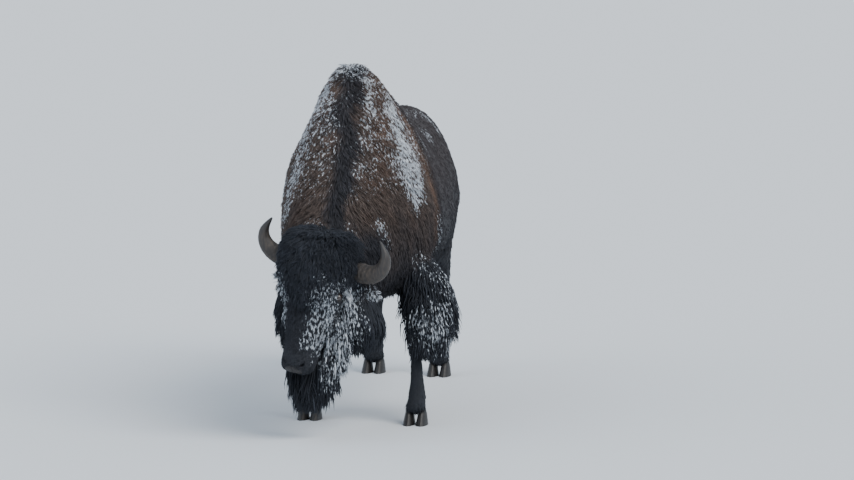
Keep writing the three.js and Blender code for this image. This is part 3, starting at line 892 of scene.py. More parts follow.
def write_attribute(obj, name, values):
    """One number, or one row of four, for each point."""
    kind, field = ("FLOAT", "value") if values.ndim == 1 else ("FLOAT_COLOR", "color")
    attribute = obj.data.attributes.new(name, kind, "POINT")
    attribute.data.foreach_set(field, values.astype(np.float32).ravel())


# painted shade: the skin under the coat takes the darker colour that locks have near their root
UNDERCOAT_ALONG = 0.30  # skin takes the colour that locks have this far up
skin_bare = how_bare(in_head(points_of(skin)))
write_attribute(skin, "marks", skin_marks)
write_attribute(skin, "tone", 0.5 + 0.15 * waves(points_of(skin), 0.05, 23))
write_attribute(skin, "along", np.full(len(skin_marks), UNDERCOAT_ALONG))
write_attribute(skin, "bare", skin_bare)
activate(skin)
bpy.ops.object.shade_smooth()
print("bare skin on", round(100 * float(skin_bare.mean()), 1), "% of the points")

# %% [markdown]
# ## Where each lock grows, and which way it lies
# Hair on an animal lies in one smooth flow that changes from region to region: down and back on the
# flank, down and outward from the ridge of the cape, down the face, outward from a whorl on the crown,
# and straight down wherever it is long enough to hang. So each root gets a lay direction from a few
# vectors mixed by region, laid into the plane of the skin there. Roots are drawn evenly over the area of
# the skin with a seeded generator, so the same animal grows every time.

# %% The skin as triangles
class SkinMap:
    """The finished skin, cut into triangles, with the solid that each belongs to."""

    def __init__(self, obj, names):
        obj.data.calc_loop_triangles()
        self.corners = read_all(obj.data.loop_triangles, "vertices", 3, np.int32)
        self.points = points_of(obj)
        self.normals = normals_of(obj)
        a, b, c = (self.points[self.corners[:, k]] for k in range(3))
        self.areas = np.linalg.norm(np.cross(b - a, c - a), axis=1) / 2
        self.centres = (a + b + c) / 3
        self.names = names[self.corners[:, 0]]

    def scatter(self, density, count, rng):
        """count roots, spread evenly over area times density."""
        reach = np.cumsum(self.areas * density)
        wanted = (np.arange(count) + rng.random(count)) / count * reach[-1]
        chosen = np.minimum(np.searchsorted(reach, wanted), len(reach) - 1)
        u, v = rng.random(count), rng.random(count)
        u, v = np.where(u + v > 1, 1 - u, u), np.where(u + v > 1, 1 - v, v)
        shares = np.stack([1 - u - v, u, v], axis=1)
        corners = self.corners[chosen]
        place = (self.points[corners] * shares[:, :, None]).sum(1)
        normal = (self.normals[corners] * shares[:, :, None]).sum(1)
        return place, normal / np.linalg.norm(normal, axis=1, keepdims=True), self.names[chosen]


skin_map = SkinMap(skin, skin_names)
print("skin area", round(float(skin_map.areas.sum()), 2), "square metres")

# %% The lay of the coat
DOWN = np.array([0.0, 0.0, -1.0])
BACK = np.array([0.0, 1.0, 0.0])
WHORL = np.array([-0.02, -0.02, 0.09])  # the hair of the crown lies outward from here, in the head


def unit(vectors):
    return vectors / np.maximum(np.linalg.norm(vectors, axis=1, keepdims=True), 1e-9)


def along_skin(vectors, normals):
    return unit(vectors - normals * (vectors * normals).sum(1, keepdims=True))


def outward_x(body):
    """-1 to 1 from the animal's right to its left of the ridge."""
    return np.clip((body[:, 0] - ridge_line(body)) / 0.06, -1, 1)[:, None] * np.array([1.0, 0, 0])


def vectors_of(x, y, z):
    """One vector per point, from arrays or plain numbers."""
    return np.stack(np.broadcast_arrays(x, y, z), axis=1)


def lay_of(points, normals, names):
    body, head = in_body(points), in_head(points)
    on_top = (ease(normals[:, 2], 0.55, 0.95) * ease(normals[:, 1], -0.15, 0.15))[:, None]
    cape = DOWN + (0.15 + 0.8 * on_top) * BACK + 0.42 * outward_x(body)
    flank = 0.75 * DOWN + 0.75 * BACK
    down_face = vectors_of(head[:, 0] * 2.2, head[:, 1] * 1.2, -1.0)
    mop = unit(head - WHORL) + np.array([0, 0, -0.9])
    ear = vectors_of(np.sign(head[:, 0]), 0.2, -0.35)
    from_head_frame = HEAD_TURN.T  # turns a row vector from the head's frame into the model's
    regions = (
        (names == "trunk", mix(cape, flank, how_sleek(body, names)[:, None])),
        (names == "neck", DOWN + 0.45 * outward_x(body)),
        (names == "head", down_face @ from_head_frame),
        (names == "crown_hair", mop @ from_head_frame + 0.5 * DOWN),
        (is_one_of(names, "beard", "throat", "chaps"), DOWN + 0.1 * BACK),
        (is_one_of(names, "ear"), ear @ from_head_frame),
        (is_one_of(names, "foreleg", "hindleg"), DOWN + 0.15 * BACK),
    )
    flow = np.tile(DOWN, (len(points), 1))
    for here, direction in regions:
        flow = np.where(here[:, None], direction, flow)
    sway = waves(points, 0.16, 31)[:, None] * 0.28 + waves(points, 0.05, 37)[:, None] * 0.16
    flow = flow + sway * np.cross(normals, unit(flow))
    return along_skin(flow, normals)


first_lay = lay_of(skin_map.points[:1], skin_map.normals[:1], skin_names[:1])
print("lay at the first point", first_lay.round(2))

# %% [markdown]
# ## One lock of hair
# Hair clings together in tapering locks. A lock here is a closed, three-sided blade: a few rings that
# follow a curve away from the root, widest a third of the way up, and a point at the end. The curve
# starts along the lay, lifted off the skin by some angle, and then bends towards gravity if the hair is
# long. It may wind in a curl, and leans towards the nearest guide lock, so that neighbours gather in
# clumps. All the locks of a region are worked out together as arrays and joined in one mesh.

# %% Curves of many locks at once
LONG_RINGS = (0.0, 0.28, 0.60, 0.85)  # where the rings stand along the lock; the tip is at 1
SHORT_RINGS = (0.0, 0.40, 0.78)
FULLNESS = {0.0: 0.70, 0.28: 1.0, 0.40: 1.0, 0.60: 0.82, 0.78: 0.55, 0.85: 0.45}
CROSS_SECTION = ((-0.5, -0.10), (0.5, -0.10), (0.0, 0.32))  # across and up, as shares of the width
ROOT_DEPTH = 0.003
LIFT_LOST = 0.55  # by how much a lock settles back onto the skin towards its tip
LOCKS_PER_CLUMP = 9


def lock_curves(roots, normals, lay, style, rings, rng):
    """Middle line of each lock at the rings and the tip: (locks, rings + 1, 3)."""
    shares = list(rings) + [1.0]
    count = len(roots)
    side = np.cross(normals, lay)
    phase = rng.uniform(0, 2 * math.pi, count)
    place = roots - normals * ROOT_DEPTH
    line = [place]
    for start, end in zip(shares, shares[1:]):
        middle = (start + end) / 2
        lift = style["lift"] * (1 - LIFT_LOST * middle)
        heading = lay * np.cos(lift)[:, None] + normals * np.sin(lift)[:, None]
        heading = unit(heading + DOWN * (style["droop"] * middle)[:, None])
        place = place + heading * (style["length"] * (end - start))[:, None]
        line.append(place)
    curves = np.stack(line, axis=1)
    for k, share in enumerate(shares):
        wind = phase + 2 * math.pi * style["turns"] * share
        swing = (style["curl"] * share)[:, None]
        curves[:, k] += swing * (side * np.cos(wind)[:, None] + 0.6 * normals * np.sin(wind)[:, None])
    return gathered(curves, roots, shares, style["clump"], rng)


def gathered(curves, roots, shares, clump, rng):
    """Each lock leans towards the nearest of some guide locks."""
    guides = rng.choice(len(roots), max(1, len(roots) // LOCKS_PER_CLUMP), replace=False)
    tree = KDTree(len(guides))
    for number, guide in enumerate(guides):
        tree.insert(Vector(roots[guide]), number)
    tree.balance()
    nearest = guides[[tree.find(Vector(root))[1] for root in roots]]
    for k, share in enumerate(shares):
        pull = (clump * share**1.5)[:, None]
        curves[:, k] += pull * (curves[nearest, k] - curves[:, k])
    return curves


print("a long lock has", len(LONG_RINGS), "rings and a tip, a short one", len(SHORT_RINGS), "and a tip")

# %% Their surface, as one mesh
def lock_mesh(name, curves, normals, widths, rings):
    count, levels = len(curves), len(rings)
    per_lock = 3 * levels + 1
    ahead = unit((curves[:, 1:] - curves[:, :-1]).reshape(-1, 3)).reshape(count, levels, 3)
    vertices = np.empty((count, per_lock, 3))
    for k, share in enumerate(rings):
        across = unit(np.cross(ahead[:, k], normals))
        upward = np.cross(across, ahead[:, k])
        width = (widths * FULLNESS[share])[:, None]
        for corner, (sideways, up) in enumerate(CROSS_SECTION):
            vertices[:, 3 * k + corner] = curves[:, k] + across * width * sideways + upward * width * up
    vertices[:, -1] = curves[:, -1]
    faces = [(0, 1, 2)]
    for k in range(levels - 1):
        for corner in range(3):
            a, b = 3 * k + corner, 3 * k + (corner + 1) % 3
            faces += [(a, a + 3, b), (b, a + 3, b + 3)]
    top = 3 * (levels - 1)
    faces += [(top + corner, per_lock - 1, top + (corner + 1) % 3) for corner in range(3)]
    pattern = np.array(faces)
    all_faces = (np.arange(count)[:, None, None] * per_lock + pattern[None]).reshape(-1, 3)
    mesh = bpy.data.meshes.new(name)
    mesh.from_pydata(vertices.reshape(-1, 3).astype(np.float32), [], all_faces)
    mesh.polygons.foreach_set("use_smooth", np.ones(len(mesh.polygons), bool))
    piece = bpy.data.objects.new(name, mesh)
    bpy.context.scene.collection.objects.link(piece)
    return piece, per_lock


def volume_of(obj):
    """Above 0 only if the triangles face outwards."""
    triangles = read_all(obj.data.polygons, "vertices", 3, np.int32)
    a, b, c = (points_of(obj)[triangles[:, k]] for k in range(3))
    return float((a * np.cross(b, c)).sum() / 6)


# %% [markdown]
# ## A patch of the bake for every lock
# When the finish is baked to an image, each lock needs a small patch of its own, or neighbours would mix
# their colours. The skin of a region is unrolled round its own axis, like the label of a tin, and each
# lock's patch is a few thousandths wide, at the place of its root on that label.

# %% The unrolled skin
BAKE_PATCH = 0.003
BAKE_MARGIN = 0.006


def angle_share(a, b):
    """The angle of a point round an axis, from 0 to 1 for the whole turn."""
    return np.arctan2(a, b) / (2 * math.pi) + 0.5


def spread(values):
    low, high = values.min(), values.max()
    return (values - low) / max(high - low, 1e-9)


def unrolled(region, roots):
    """The place of each root on its region's label, from 0 to 1 both ways."""
    body, head = in_body(roots), in_head(roots)
    if region == "head":
        return angle_share(head[:, 0], -head[:, 1]), spread(head[:, 2])
    if region == "legs":
        fore = body[:, 1] < 0.8
        left = body[:, 0] > 0
        quarter = 2 * fore + left
        turn_share = np.empty(len(roots))
        for number in range(4):
            leg = quarter == number
            middle = body[leg].mean(0) if leg.any() else np.zeros(3)
            turn_share[leg] = angle_share(body[leg, 0] - middle[0], body[leg, 1] - middle[1])
        return (quarter + turn_share) / 4, spread(body[:, 2])
    if region == "hanging":
        middle = body.mean(0)
        return angle_share(body[:, 0] - middle[0], body[:, 1] - middle[1]), spread(body[:, 2])
    return angle_share(body[:, 0], body[:, 2] - 1.05), spread(body[:, 1])


def lay_out_bake(piece, region, roots, per_lock, levels):
    u, v = unrolled(region, roots)
    inside = 1 - 2 * BAKE_MARGIN
    local = [((corner - 1) / 2.2, k / levels - 0.5) for k in range(levels) for corner in range(3)]
    local = np.array(local + [(0.0, 0.5)]) * BAKE_PATCH
    uv = np.stack([u, v], 1)[:, None] * inside + BAKE_MARGIN + local[None]
    layer = piece.data.uv_layers.new(name="OFBake")
    corners = read_all(piece.data.loops, "vertex_index", 1, np.int32)[:, 0]
    layer.data.foreach_set("uv", uv.reshape(-1, 2)[corners].astype(np.float32).ravel())


print("a lock's patch of the bake is", BAKE_PATCH, "wide")

# %% Room for the eyes to look out
EYE_CLEARING = 0.012  # half-width of the hairless cone at the middle of the eyeball
CLEARING_SLOPE = 0.45
CLEARING_REACH = (-0.004, 0.15)  # along the cone, from the middle of the eyeball


def hides_an_eye(curves):
    """True for a lock that enters the cone which opens outward from the lids of either eye."""
    head = in_head(curves.reshape(-1, 3))
    hidden = np.zeros(len(head), bool)
    for side in (1, -1):
        middle, outward, _, _ = eye_axes(side)
        offset = head - middle
        ahead = offset @ outward
        aside = np.linalg.norm(offset - ahead[:, None] * outward, axis=1)
        in_reach = (ahead > CLEARING_REACH[0]) & (ahead < CLEARING_REACH[1])
        hidden |= in_reach & (aside < EYE_CLEARING + CLEARING_SLOPE * ahead)
    return hidden.reshape(curves.shape[:2]).any(axis=1)


print("the cone before each eye is", 2 * EYE_CLEARING, "m wide at the ball")

# %% A whole region of the coat
COAT = []
STYLE_SPREAD = 0.25  # each setting of a lock is its mean plus or minus this share
PLAIN_STYLE = {"curl": 0.0, "turns": 1.0, "droop": 0.0, "clump": 0.3, "stray": 0.12}


def style_table(count, rng, **means):
    """An array per setting. Lengths are in metres, and lift, the angle off the skin, in degrees."""
    table = {}
    for key, mean in {**PLAIN_STYLE, **means}.items():
        mean = np.radians(mean) if key == "lift" else mean
        table[key] = mean * (1 + rng.uniform(-STYLE_SPREAD, STYLE_SPREAD, count))
    return table


def grow(name, region, membership, count, style_of, rings=LONG_RINGS, seed=1):
    """Grows count locks where membership (a share per triangle of the skin) is above 0."""
    rng = np.random.default_rng(seed)
    roots, normals, names = skin_map.scatter(membership, count, rng)
    lay = lay_of(roots, normals, names)
    style = style_of(roots, normals, names, rng)
    lay = along_skin(lay + style["stray"][:, None] * rng.normal(size=(count, 3)), normals)
    curves = lock_curves(roots, normals, lay, style, rings, rng)
    shown = ~hides_an_eye(curves)
    curves, roots, normals, names = curves[shown], roots[shown], normals[shown], names[shown]
    count = len(curves)
    piece, per_lock = lock_mesh(name, curves, normals, style["width"][shown], rings)
    tone = np.clip(0.5 + 0.22 * rng.normal(size=count) + 0.15 * waves(roots, 0.06, 23), 0, 1)
    along = np.array([share for share in rings for _ in range(3)] + [1.0])
    marks = markings(roots, names)
    marks[:, 2] *= rng.uniform(0.55, 1.30, count)
    write_attribute(piece, "marks", np.repeat(np.clip(marks, 0, 1), per_lock, axis=0))
    write_attribute(piece, "tone", np.repeat(tone, per_lock))
    write_attribute(piece, "along", np.tile(along, count))
    lay_out_bake(piece, region, roots, per_lock, len(rings))
    COAT.append(piece)
    millilitres = round(volume_of(piece) * 1e6)
    print(name, count, "locks,", len(piece.data.polygons), "triangles,", millilitres, "ml")


# %% [markdown]
# ## The cape
# The cape covers hump, shoulders and neck with woolly hair a hand's breadth long. It is what is seen
# first, so it takes the most locks. They are lifted well off the skin, bend under their own weight and
# gather in clumps, which gives the broken, streaky surface of a winter coat.

# %% Cape and neck
CAPE_LOCKS = 9800  # on each side
NECK_LOCKS = 9000


def share_of(*starts):
    return is_one_of(skin_map.names, *starts).astype(float)


map_body = in_body(skin_map.centres)
map_head = in_head(skin_map.centres)
map_sleek = how_sleek(map_body, skin_map.names)
left_of_ridge = map_body[:, 0] > ridge_line(map_body)


def cape_style(roots, normals, names, rng):
    body = in_body(roots)
    style = style_table(
        len(roots), rng, length=0.066, width=0.0078, lift=25, curl=0.006, turns=1.2,
        droop=0.45, clump=0.40, stray=0.18,
    )
    near_end = ease(body[:, 1], CAPE_END - 0.12, CAPE_END + 0.04)
    low = 1 - ease(body[:, 2], 0.75, 1.10)
    style["length"] *= mix(1.0, 0.62, near_end) * (1 + 0.35 * low)
    style["lift"] *= mix(1.0, 0.65, near_end)
    return style


cape = share_of("trunk") * (1 - map_sleek)
grow("cape_left", "body", cape * left_of_ridge, CAPE_LOCKS, cape_style, SHORT_RINGS, seed=11)
grow("cape_right", "body", cape * ~left_of_ridge, CAPE_LOCKS, cape_style, SHORT_RINGS, seed=12)
grow("neck_mane", "body", share_of("neck"), NECK_LOCKS, cape_style, SHORT_RINGS, seed=13)

# %% [markdown]
# ## The short coat
# Behind the cape, on the legs and on the face the hair is short and lies flat. Most of it is left to the
# bump of the skin's finish, and thin tufts are laid over it, which break up the outline and catch the
# light on every side. They are smallest on the face and the feet.

# %% Flank, legs, face and ears
FLANK_TUFTS = 6400  # on each side
LEG_TUFTS = 6400
FACE_TUFTS = 9600
EAR_TUFTS = 1000
RUFF_LOCKS = 2400


def flank_style(roots, normals, names, rng):
    style = style_table(len(roots), rng, length=0.036, width=0.0056, lift=11, clump=0.25, stray=0.13)
    after_cape = 1 - ease(in_body(roots)[:, 1], CAPE_END, CAPE_END + 0.18)
    belly = ease(-normals[:, 2], 0.15, 0.75)
    style["length"] *= 1 + 0.5 * after_cape + 0.9 * belly
    style["lift"] *= 1 + 0.5 * after_cape + 0.8 * belly
    style["droop"] = 0.9 * belly
    return style


def leg_style(roots, normals, names, rng):
    style = style_table(len(roots), rng, length=0.032, width=0.0052, lift=16, clump=0.25, stray=0.20)
    high = ease(roots[:, 2], 0.25, 0.75)
    at_coronet = 1 - ease(roots[:, 2], 0.09, 0.14)
    style["length"] *= mix(0.62, 1.0, high) * (1 + 0.35 * at_coronet)
    style["width"] *= mix(0.75, 1.0, high)
    style["lift"] *= 1 + 0.5 * at_coronet
    return style


def face_style(roots, normals, names, rng):
    head = in_head(roots)
    style = style_table(
        len(roots), rng, length=0.040, width=0.0056, lift=22, clump=0.35, stray=0.25, droop=0.4,
    )
    small = np.maximum(ease(-head[:, 2], 0.30, 0.54), 1 - ease(eye_distance(head), 0.03, 0.07))
    style["length"] *= mix(1.0, 0.42, small)
    style["width"] *= mix(1.0, 0.60, small)
    style["lift"] *= mix(1.0, 0.9, small)
    return style


def ruff_style(roots, normals, names, rng):
    return style_table(
        len(roots), rng, length=0.094, width=0.0085, lift=44, curl=0.008, turns=1.2,
        droop=0.9, clump=0.5, stray=0.28,
    )


def ear_style(roots, normals, names, rng):
    return style_table(len(roots), rng, length=0.040, width=0.0045, lift=24, clump=0.3, stray=0.35)


flank = share_of("trunk") * map_sleek
grow("flank_left", "body", flank * left_of_ridge, FLANK_TUFTS, flank_style, SHORT_RINGS, seed=21)
grow("flank_right", "body", flank * ~left_of_ridge, FLANK_TUFTS, flank_style, SHORT_RINGS, seed=22)
low_leg = mix(2.6, 1.0, ease(skin_map.centres[:, 2], 0.12, 0.35))
legs = share_of("foreleg", "hindleg") * low_leg
grow("leg_coat", "legs", legs, LEG_TUFTS, leg_style, SHORT_RINGS, seed=23)
clothed_face = share_of("head") * (1 - ease(how_bare(map_head), 0.2, 0.6))
clothed_face *= mix(1.4, 1.0, ease(-map_head[:, 2], 0, 0.3)) + 0.8 * ease(-map_head[:, 2], 0.32, 0.42)
grow("face_coat", "head", clothed_face, FACE_TUFTS, face_style, SHORT_RINGS, seed=24)
behind_eye = ease(map_head[:, 1], -0.03, 0.05) * ease(np.abs(map_head[:, 0]), 0.07, 0.11)
ruff = share_of("head") * behind_eye * ease(map_head[:, 2], -0.44, -0.34)
grow("cheek_ruff", "head", ruff, RUFF_LOCKS, ruff_style, seed=26)
grow("ear_coat", "head", share_of("ear"), EAR_TUFTS, ear_style, SHORT_RINGS, seed=25)

# %% [markdown]
# ## The long hair
# Crown, beard, throat mane, the chaps of the forelegs and the tail switch are the longest hair of all.
# The crown is a curly mop. The others hang, each lock down to the outline that the solids give, so a
# root high up gets a long lock and one near the lower edge a short one.

# %% Crown, beard, throat and chaps
CROWN_LOCKS = 7000
BEARD_LOCKS = 3600
THROAT_LOCKS = 4000
CHAPS_LOCKS = 3600  # on each leg
CHAPS_LIFT = {"left": 36, "right": 24}
HANGING = {
    "length": 1.0, "width": 0.012, "lift": 26, "curl": 0.010, "turns": 1.4, "droop": 1.8,
    "clump": 0.55, "stray": 0.22,
}
PAST_EDGE = 0.02  # how far a hanging lock may reach below its solid
FLAT_SHARE = 0.45  # of length and lift, where hanging hair lies flat
ABOVE_ALL = 9.0


def crown_style(roots, normals, names, rng):
    return style_table(
        len(roots), rng, length=0.078, width=0.0085, lift=34, curl=0.010, turns=1.5,
        droop=0.6, clump=0.45, stray=0.30,
    )


def hanging_style(node, least, most, flat_above=ABOVE_ALL, **more):
    """Locks that reach down to a solid's lowest point, within limits, and lie flat higher up."""
    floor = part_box(node)[0].z

    def style_of(roots, normals, names, rng):
        style = style_table(len(roots), rng, **{**HANGING, **more})
        style["length"] *= np.clip(roots[:, 2] - floor + PAST_EDGE, least, most)
        flat = mix(1.0, FLAT_SHARE, ease(roots[:, 2], flat_above - 0.20, flat_above))
        style["length"] *= flat
        style["lift"] *= flat
        return style

    return style_of


beard_style = hanging_style("beard", 0.07, 0.19)
throat_style = hanging_style("throat_mane", 0.07, 0.15)
grow("crown_coat", "head", share_of("crown"), CROWN_LOCKS, crown_style, seed=31)
grow("beard_coat", "hanging", share_of("beard"), BEARD_LOCKS, beard_style, seed=32)
grow("throat_coat", "hanging", share_of("throat"), THROAT_LOCKS, throat_style, seed=33)
for seed, (side, lift) in enumerate(CHAPS_LIFT.items(), start=34):
    chaps = "chaps_" + side
    chaps_style = hanging_style(chaps, 0.08, 0.16, 0.90, width=0.0095, lift=lift, droop=1.4, stray=0.28)
    grow("chaps_coat_" + side, "hanging", share_of(chaps), CHAPS_LOCKS, chaps_style, seed=seed)

# %% Tail
TAIL_LOCKS = 1000
SWITCH_FROM, SWITCH_TO = 0.93, 1.04  # heights between which the tuft at the end of the tail begins


def tail_style(roots, normals, names, rng):
    style = style_table(
        len(roots), rng, length=0.04, width=0.007, lift=12, droop=1.5, clump=0.5, stray=0.12,
    )
    switch = 1 - ease(roots[:, 2], SWITCH_FROM, SWITCH_TO)
    under = ease(-normals[:, 2], 0.2, 0.7)
    style["length"] *= mix(1.0, 5.2, switch) * (1 - 0.5 * under)
    style["width"] *= mix(1.0, 1.6, switch)
    style["lift"] *= 1 + 4 * under
    style["droop"] *= 1 + 2 * np.maximum(switch, under)
    return style


tail_low = mix(6.0, 1.0, ease(map_body[:, 2], SWITCH_FROM, SWITCH_TO))
grow("tail_coat", "hanging", share_of("tail") * tail_low, TAIL_LOCKS, tail_style, seed=36)
print("coat triangles in all:", sum(len(piece.data.polygons) for piece in COAT))

# %% [markdown]
# ## Writing a finish as a sum
# A finish here is a small graph of nodes. To keep it readable, a socket is wrapped in a class that
# understands + - * and comparison by `between`, so that a mask is written as a formula. Every other node
# comes from one method that takes the node's type, its settings and its inputs.

# %% A small language for finishes
class Value:
    """A socket that carries a number or a colour."""

    def __init__(self, finish, socket):
        self.finish, self.socket = finish, socket

    def math(self, operation, first, second):
        return self.finish.node("ShaderNodeMath", {"operation": operation}, {0: first, 1: second})

    def __add__(self, other):
        return self.math("ADD", self, other)

    def __sub__(self, other):
        return self.math("SUBTRACT", self, other)

    def __rsub__(self, other):
        return self.math("SUBTRACT", other, self)

    def __mul__(self, other):
        return self.math("MULTIPLY", self, other)

    __radd__ = __add__
    __rmul__ = __mul__

    def between(self, low, high):
        """0 below low, 1 above high."""
        settings = {"interpolation_type": "SMOOTHSTEP"}
        inputs = {"Value": self, "From Min": low, "From Max": high}
        return self.finish.node("ShaderNodeMapRange", settings, inputs)


class Finish:
    """A material whose nodes are made by calls."""

    def __init__(self, name, **constants):
        self.material = bpy.data.materials.new(name)
        self.material.use_nodes = True
        self.tree = self.material.node_tree
        self.shader = self.tree.nodes["Principled BSDF"]
        self.set(**constants)

    def set(self, **sockets):
        for name, value in sockets.items():
            self.feed(self.shader.inputs[name.replace("_", " ")], value)

    def feed(self, socket, value):
        if isinstance(value, Value):
            self.tree.links.new(value.socket, socket)
        elif isinstance(value, tuple) and socket.type == "RGBA":
            socket.default_value = (*value[:3], 1.0)
        else:
            socket.default_value = value

    def node(self, kind, settings=None, inputs=None, output=0):
        node = self.tree.nodes.new(kind)
        for name, value in (settings or {}).items():
            setattr(node, name, value)
        for key, value in (inputs or {}).items():
            self.feed(node.inputs[key], value)
        return Value(self, node.outputs[output])

    def colours(self, first, second, share):
        """The first colour where share is 0, the second where it is 1."""
        inputs = {0: share, 6: first, 7: second}
        return self.node("ShaderNodeMix", {"data_type": "RGBA"}, inputs, output=2)

    def shade(self, colour, share):
        """The colour made darker or lighter by a number."""
        return self.node("ShaderNodeVectorMath", {"operation": "SCALE"}, {0: colour, "Scale": share})

    def attribute(self, name, output="Fac"):
        return self.node("ShaderNodeAttribute", {"attribute_name": name}, output=output)

    def place(self, scale=(1, 1, 1)):
        """Object coordinates, stretched."""
        whole = self.node("ShaderNodeTexCoord", output="Object")
        return self.node("ShaderNodeMapping", None, {"Vector": whole, "Scale": Vector(scale)})

    def noise(self, size, detail=3.0, scale=(1, 1, 1)):
        """Noise with features of about size metres."""
        inputs = {"Vector": self.place(scale), "Scale": 1 / size, "Detail": detail}
        return self.node("ShaderNodeTexNoise", None, inputs)

    def bump(self, height, distance, strength=1.0):
        inputs = {"Height": height, "Distance": distance, "Strength": strength}
        return self.node("ShaderNodeBump", None, inputs)


print("finishes are made with", [name for name in vars(Finish) if not name.startswith("_")])

# %% [markdown]
# ## The colour of the coat
# The cape is a warm brown that the sun has bleached at the tips, the flank a colder, darker brown, and
# head, beard and chaps are nearly black. Each lock differs a little from its neighbour, and is darker at
# the root, where light can't reach. Powder snow is a noise of short streaks: where the mask says more
# snow, more of the noise turns white.

# %% Coat and skin finish
CAPE_BROWN = (0.076, 0.057, 0.049)
RUSTY_BROWN = (0.108, 0.069, 0.052)
FLANK_BROWN = (0.040, 0.034, 0.036)
DARK_HAIR = (0.0195, 0.0225, 0.0295)
SNOW_WHITE = (0.55, 0.59, 0.64)
SNOW_FLECK = 0.011  # size of a fleck of powder snow, in metres
SNOW_STREAK = (1.1, 0.8, 0.55)  # flecks are drawn out downward, as most of the hair lies
SNOW_REACH = 0.34  # how much of the fleck noise the mask of snow can lift to white
# painted shade: each lock darkens towards its root; the tips are lighter where the sun has bleached them
ROOT_PAINTED_SHADE, TIP_SHADE = 0.60, 1.25
HAIR_GRAIN = 0.0030
PORE_SIZE = 0.0035
WET_SKIN = (0.016, 0.014, 0.015)


def coat_colour(finish):
    """The colour of hair from the attributes that skin and locks share, and how snowy it is."""
    marks = finish.attribute("marks", "Color")
    dark, rusty, snowy = (
        finish.node("ShaderNodeSeparateColor", None, {"Color": marks}, output=k) for k in range(3)
    )
    sleek = finish.attribute("marks", "Alpha")
    tone, along = finish.attribute("tone"), finish.attribute("along")
    brown = finish.colours(CAPE_BROWN, RUSTY_BROWN, rusty)
    brown = finish.colours(brown, FLANK_BROWN, sleek)
    hair = finish.colours(brown, DARK_HAIR, dark)
    # the brightness of each lock: its own tone, painted shade towards the root and sun-bleached tips
    light = (tone * 0.8 + 0.6) * (along * (TIP_SHADE - ROOT_PAINTED_SHADE) + ROOT_PAINTED_SHADE)
    flecks = finish.noise(SNOW_FLECK, scale=SNOW_STREAK) + snowy * SNOW_REACH + tone * 0.10
    return finish.shade(hair, light), flecks.between(0.66, 0.82) * snowy.between(0.02, 0.12)


def make_coat_finish():
    finish = Finish("coat_hair")
    hair, snow = coat_colour(finish)
    finish.set(
        Base_Color=finish.colours(hair, SNOW_WHITE, snow),
        Roughness=snow * -0.15 + 0.80,
        Specular_IOR_Level=0.25,
    )
    return finish.material


def make_skin_finish():
    finish = Finish("hide")
    hair, snow = coat_colour(finish)
    bare = finish.attribute("bare")
    clothed = finish.colours(hair, SNOW_WHITE, snow * 0.8)
    grain = finish.noise(HAIR_GRAIN, detail=4, scale=(1.0, 0.35, 0.25))
    pores = finish.node("ShaderNodeTexVoronoi", None, {"Vector": finish.place(), "Scale": 1 / PORE_SIZE})
    fur = finish.shade(clothed, grain * 0.9 + 0.55)
    wet = finish.shade(WET_SKIN, pores * 0.8 + 0.7)
    height = grain * (1 - bare) * 1.6 + pores * bare * 0.5
    finish.set(
        Base_Color=finish.colours(fur, wet, bare),
        Roughness=bare * -0.42 + 0.82,
        Normal=finish.bump(height, 0.0022),
        Specular_IOR_Level=0.3,
    )
    return finish.material


COAT_FINISH = make_coat_finish()
skin.data.materials.append(make_skin_finish())
for piece in COAT:
    piece.data.materials.append(COAT_FINISH)
print("coat pieces with the finish", COAT_FINISH.name, ":", len(COAT))

# %% [markdown]
# ## Horns
# A bull's horns are thick at the root, with rough growth rings, and wear smooth and dark towards the
# tip. Their solids have the right sweep but flat facets. So copies of them are subdivided to a smooth
# surface, and rings are raised near the root by moving the points out and in along the horn.

# %% Smooth copies
def keep_sole_sharp(piece):
    """Edges on the floor get a full crease, so that smoothing leaves them where they are."""
    on_floor = points_of(piece)[:, 2] < 0.002
    if on_floor.any():
        edges = read_all(piece.data.edges, "vertices", 2, np.int32)
        crease = on_floor[edges].all(axis=1).astype(np.float32)
        piece.data.attributes.new("crease_edge", "FLOAT", "EDGE").data.foreach_set("value", crease)


def smooth_copy(name, new_name, levels, swell):
    """swell, in metres, makes up for what subdivision shrinks."""
    piece = merged_copy([name], new_name)
    apply_modifier(piece, "DISPLACE", strength=swell, mid_level=0.0)
    keep_sole_sharp(piece)
    apply_modifier(piece, "SUBSURF", levels=levels, render_levels=levels)
    activate(piece)
    bpy.ops.object.shade_smooth()
    return piece


def share_along(points, route):
    """How far along a route the nearest place to each point is, from 0 to 1."""
    route = np.array(route)
    steps = np.linalg.norm(np.diff(route, axis=0), axis=1)
    starts = np.concatenate([[0], np.cumsum(steps)])[:-1]
    best, share = np.full(len(points), 1e9), np.zeros(len(points))
    for a, b, length, start in zip(route, route[1:], steps, starts):
        t = np.clip((points - a) @ (b - a) / length**2, 0, 1)
        distance = np.linalg.norm(points - a - t[:, None] * (b - a), axis=1)
        share = np.where(distance < best, start + t * length, share)
        best = np.minimum(distance, best)
    return share / steps.sum()


print("half of a metre's route:", share_along(np.array([[0.5, 0, 0]]), [(0, 0, 0), (1, 0, 0)])[0])

# %% Horns
HORN_ROUTE = [  # from root to tip, in head coordinates
    (0.110, 0.022, -0.034), (0.192, 0.026, -0.048), (0.270, 0.012, -0.045),
    (0.328, -0.014, -0.004), (0.340, -0.042, 0.056), (0.302, -0.062, 0.124),
]
HORN_SWELL = 0.0022
RING_HEIGHT, CHIP_HEIGHT = 0.0012, 0.0009
RING_TURNS = 95  # radians of the rings' wave over the whole horn
HORN_DARK, HORN_PALE = (0.030, 0.026, 0.024), (0.062, 0.049, 0.040)
HORN_TIP, HORN_BASE = (0.020, 0.018, 0.018), (0.024, 0.021, 0.020)


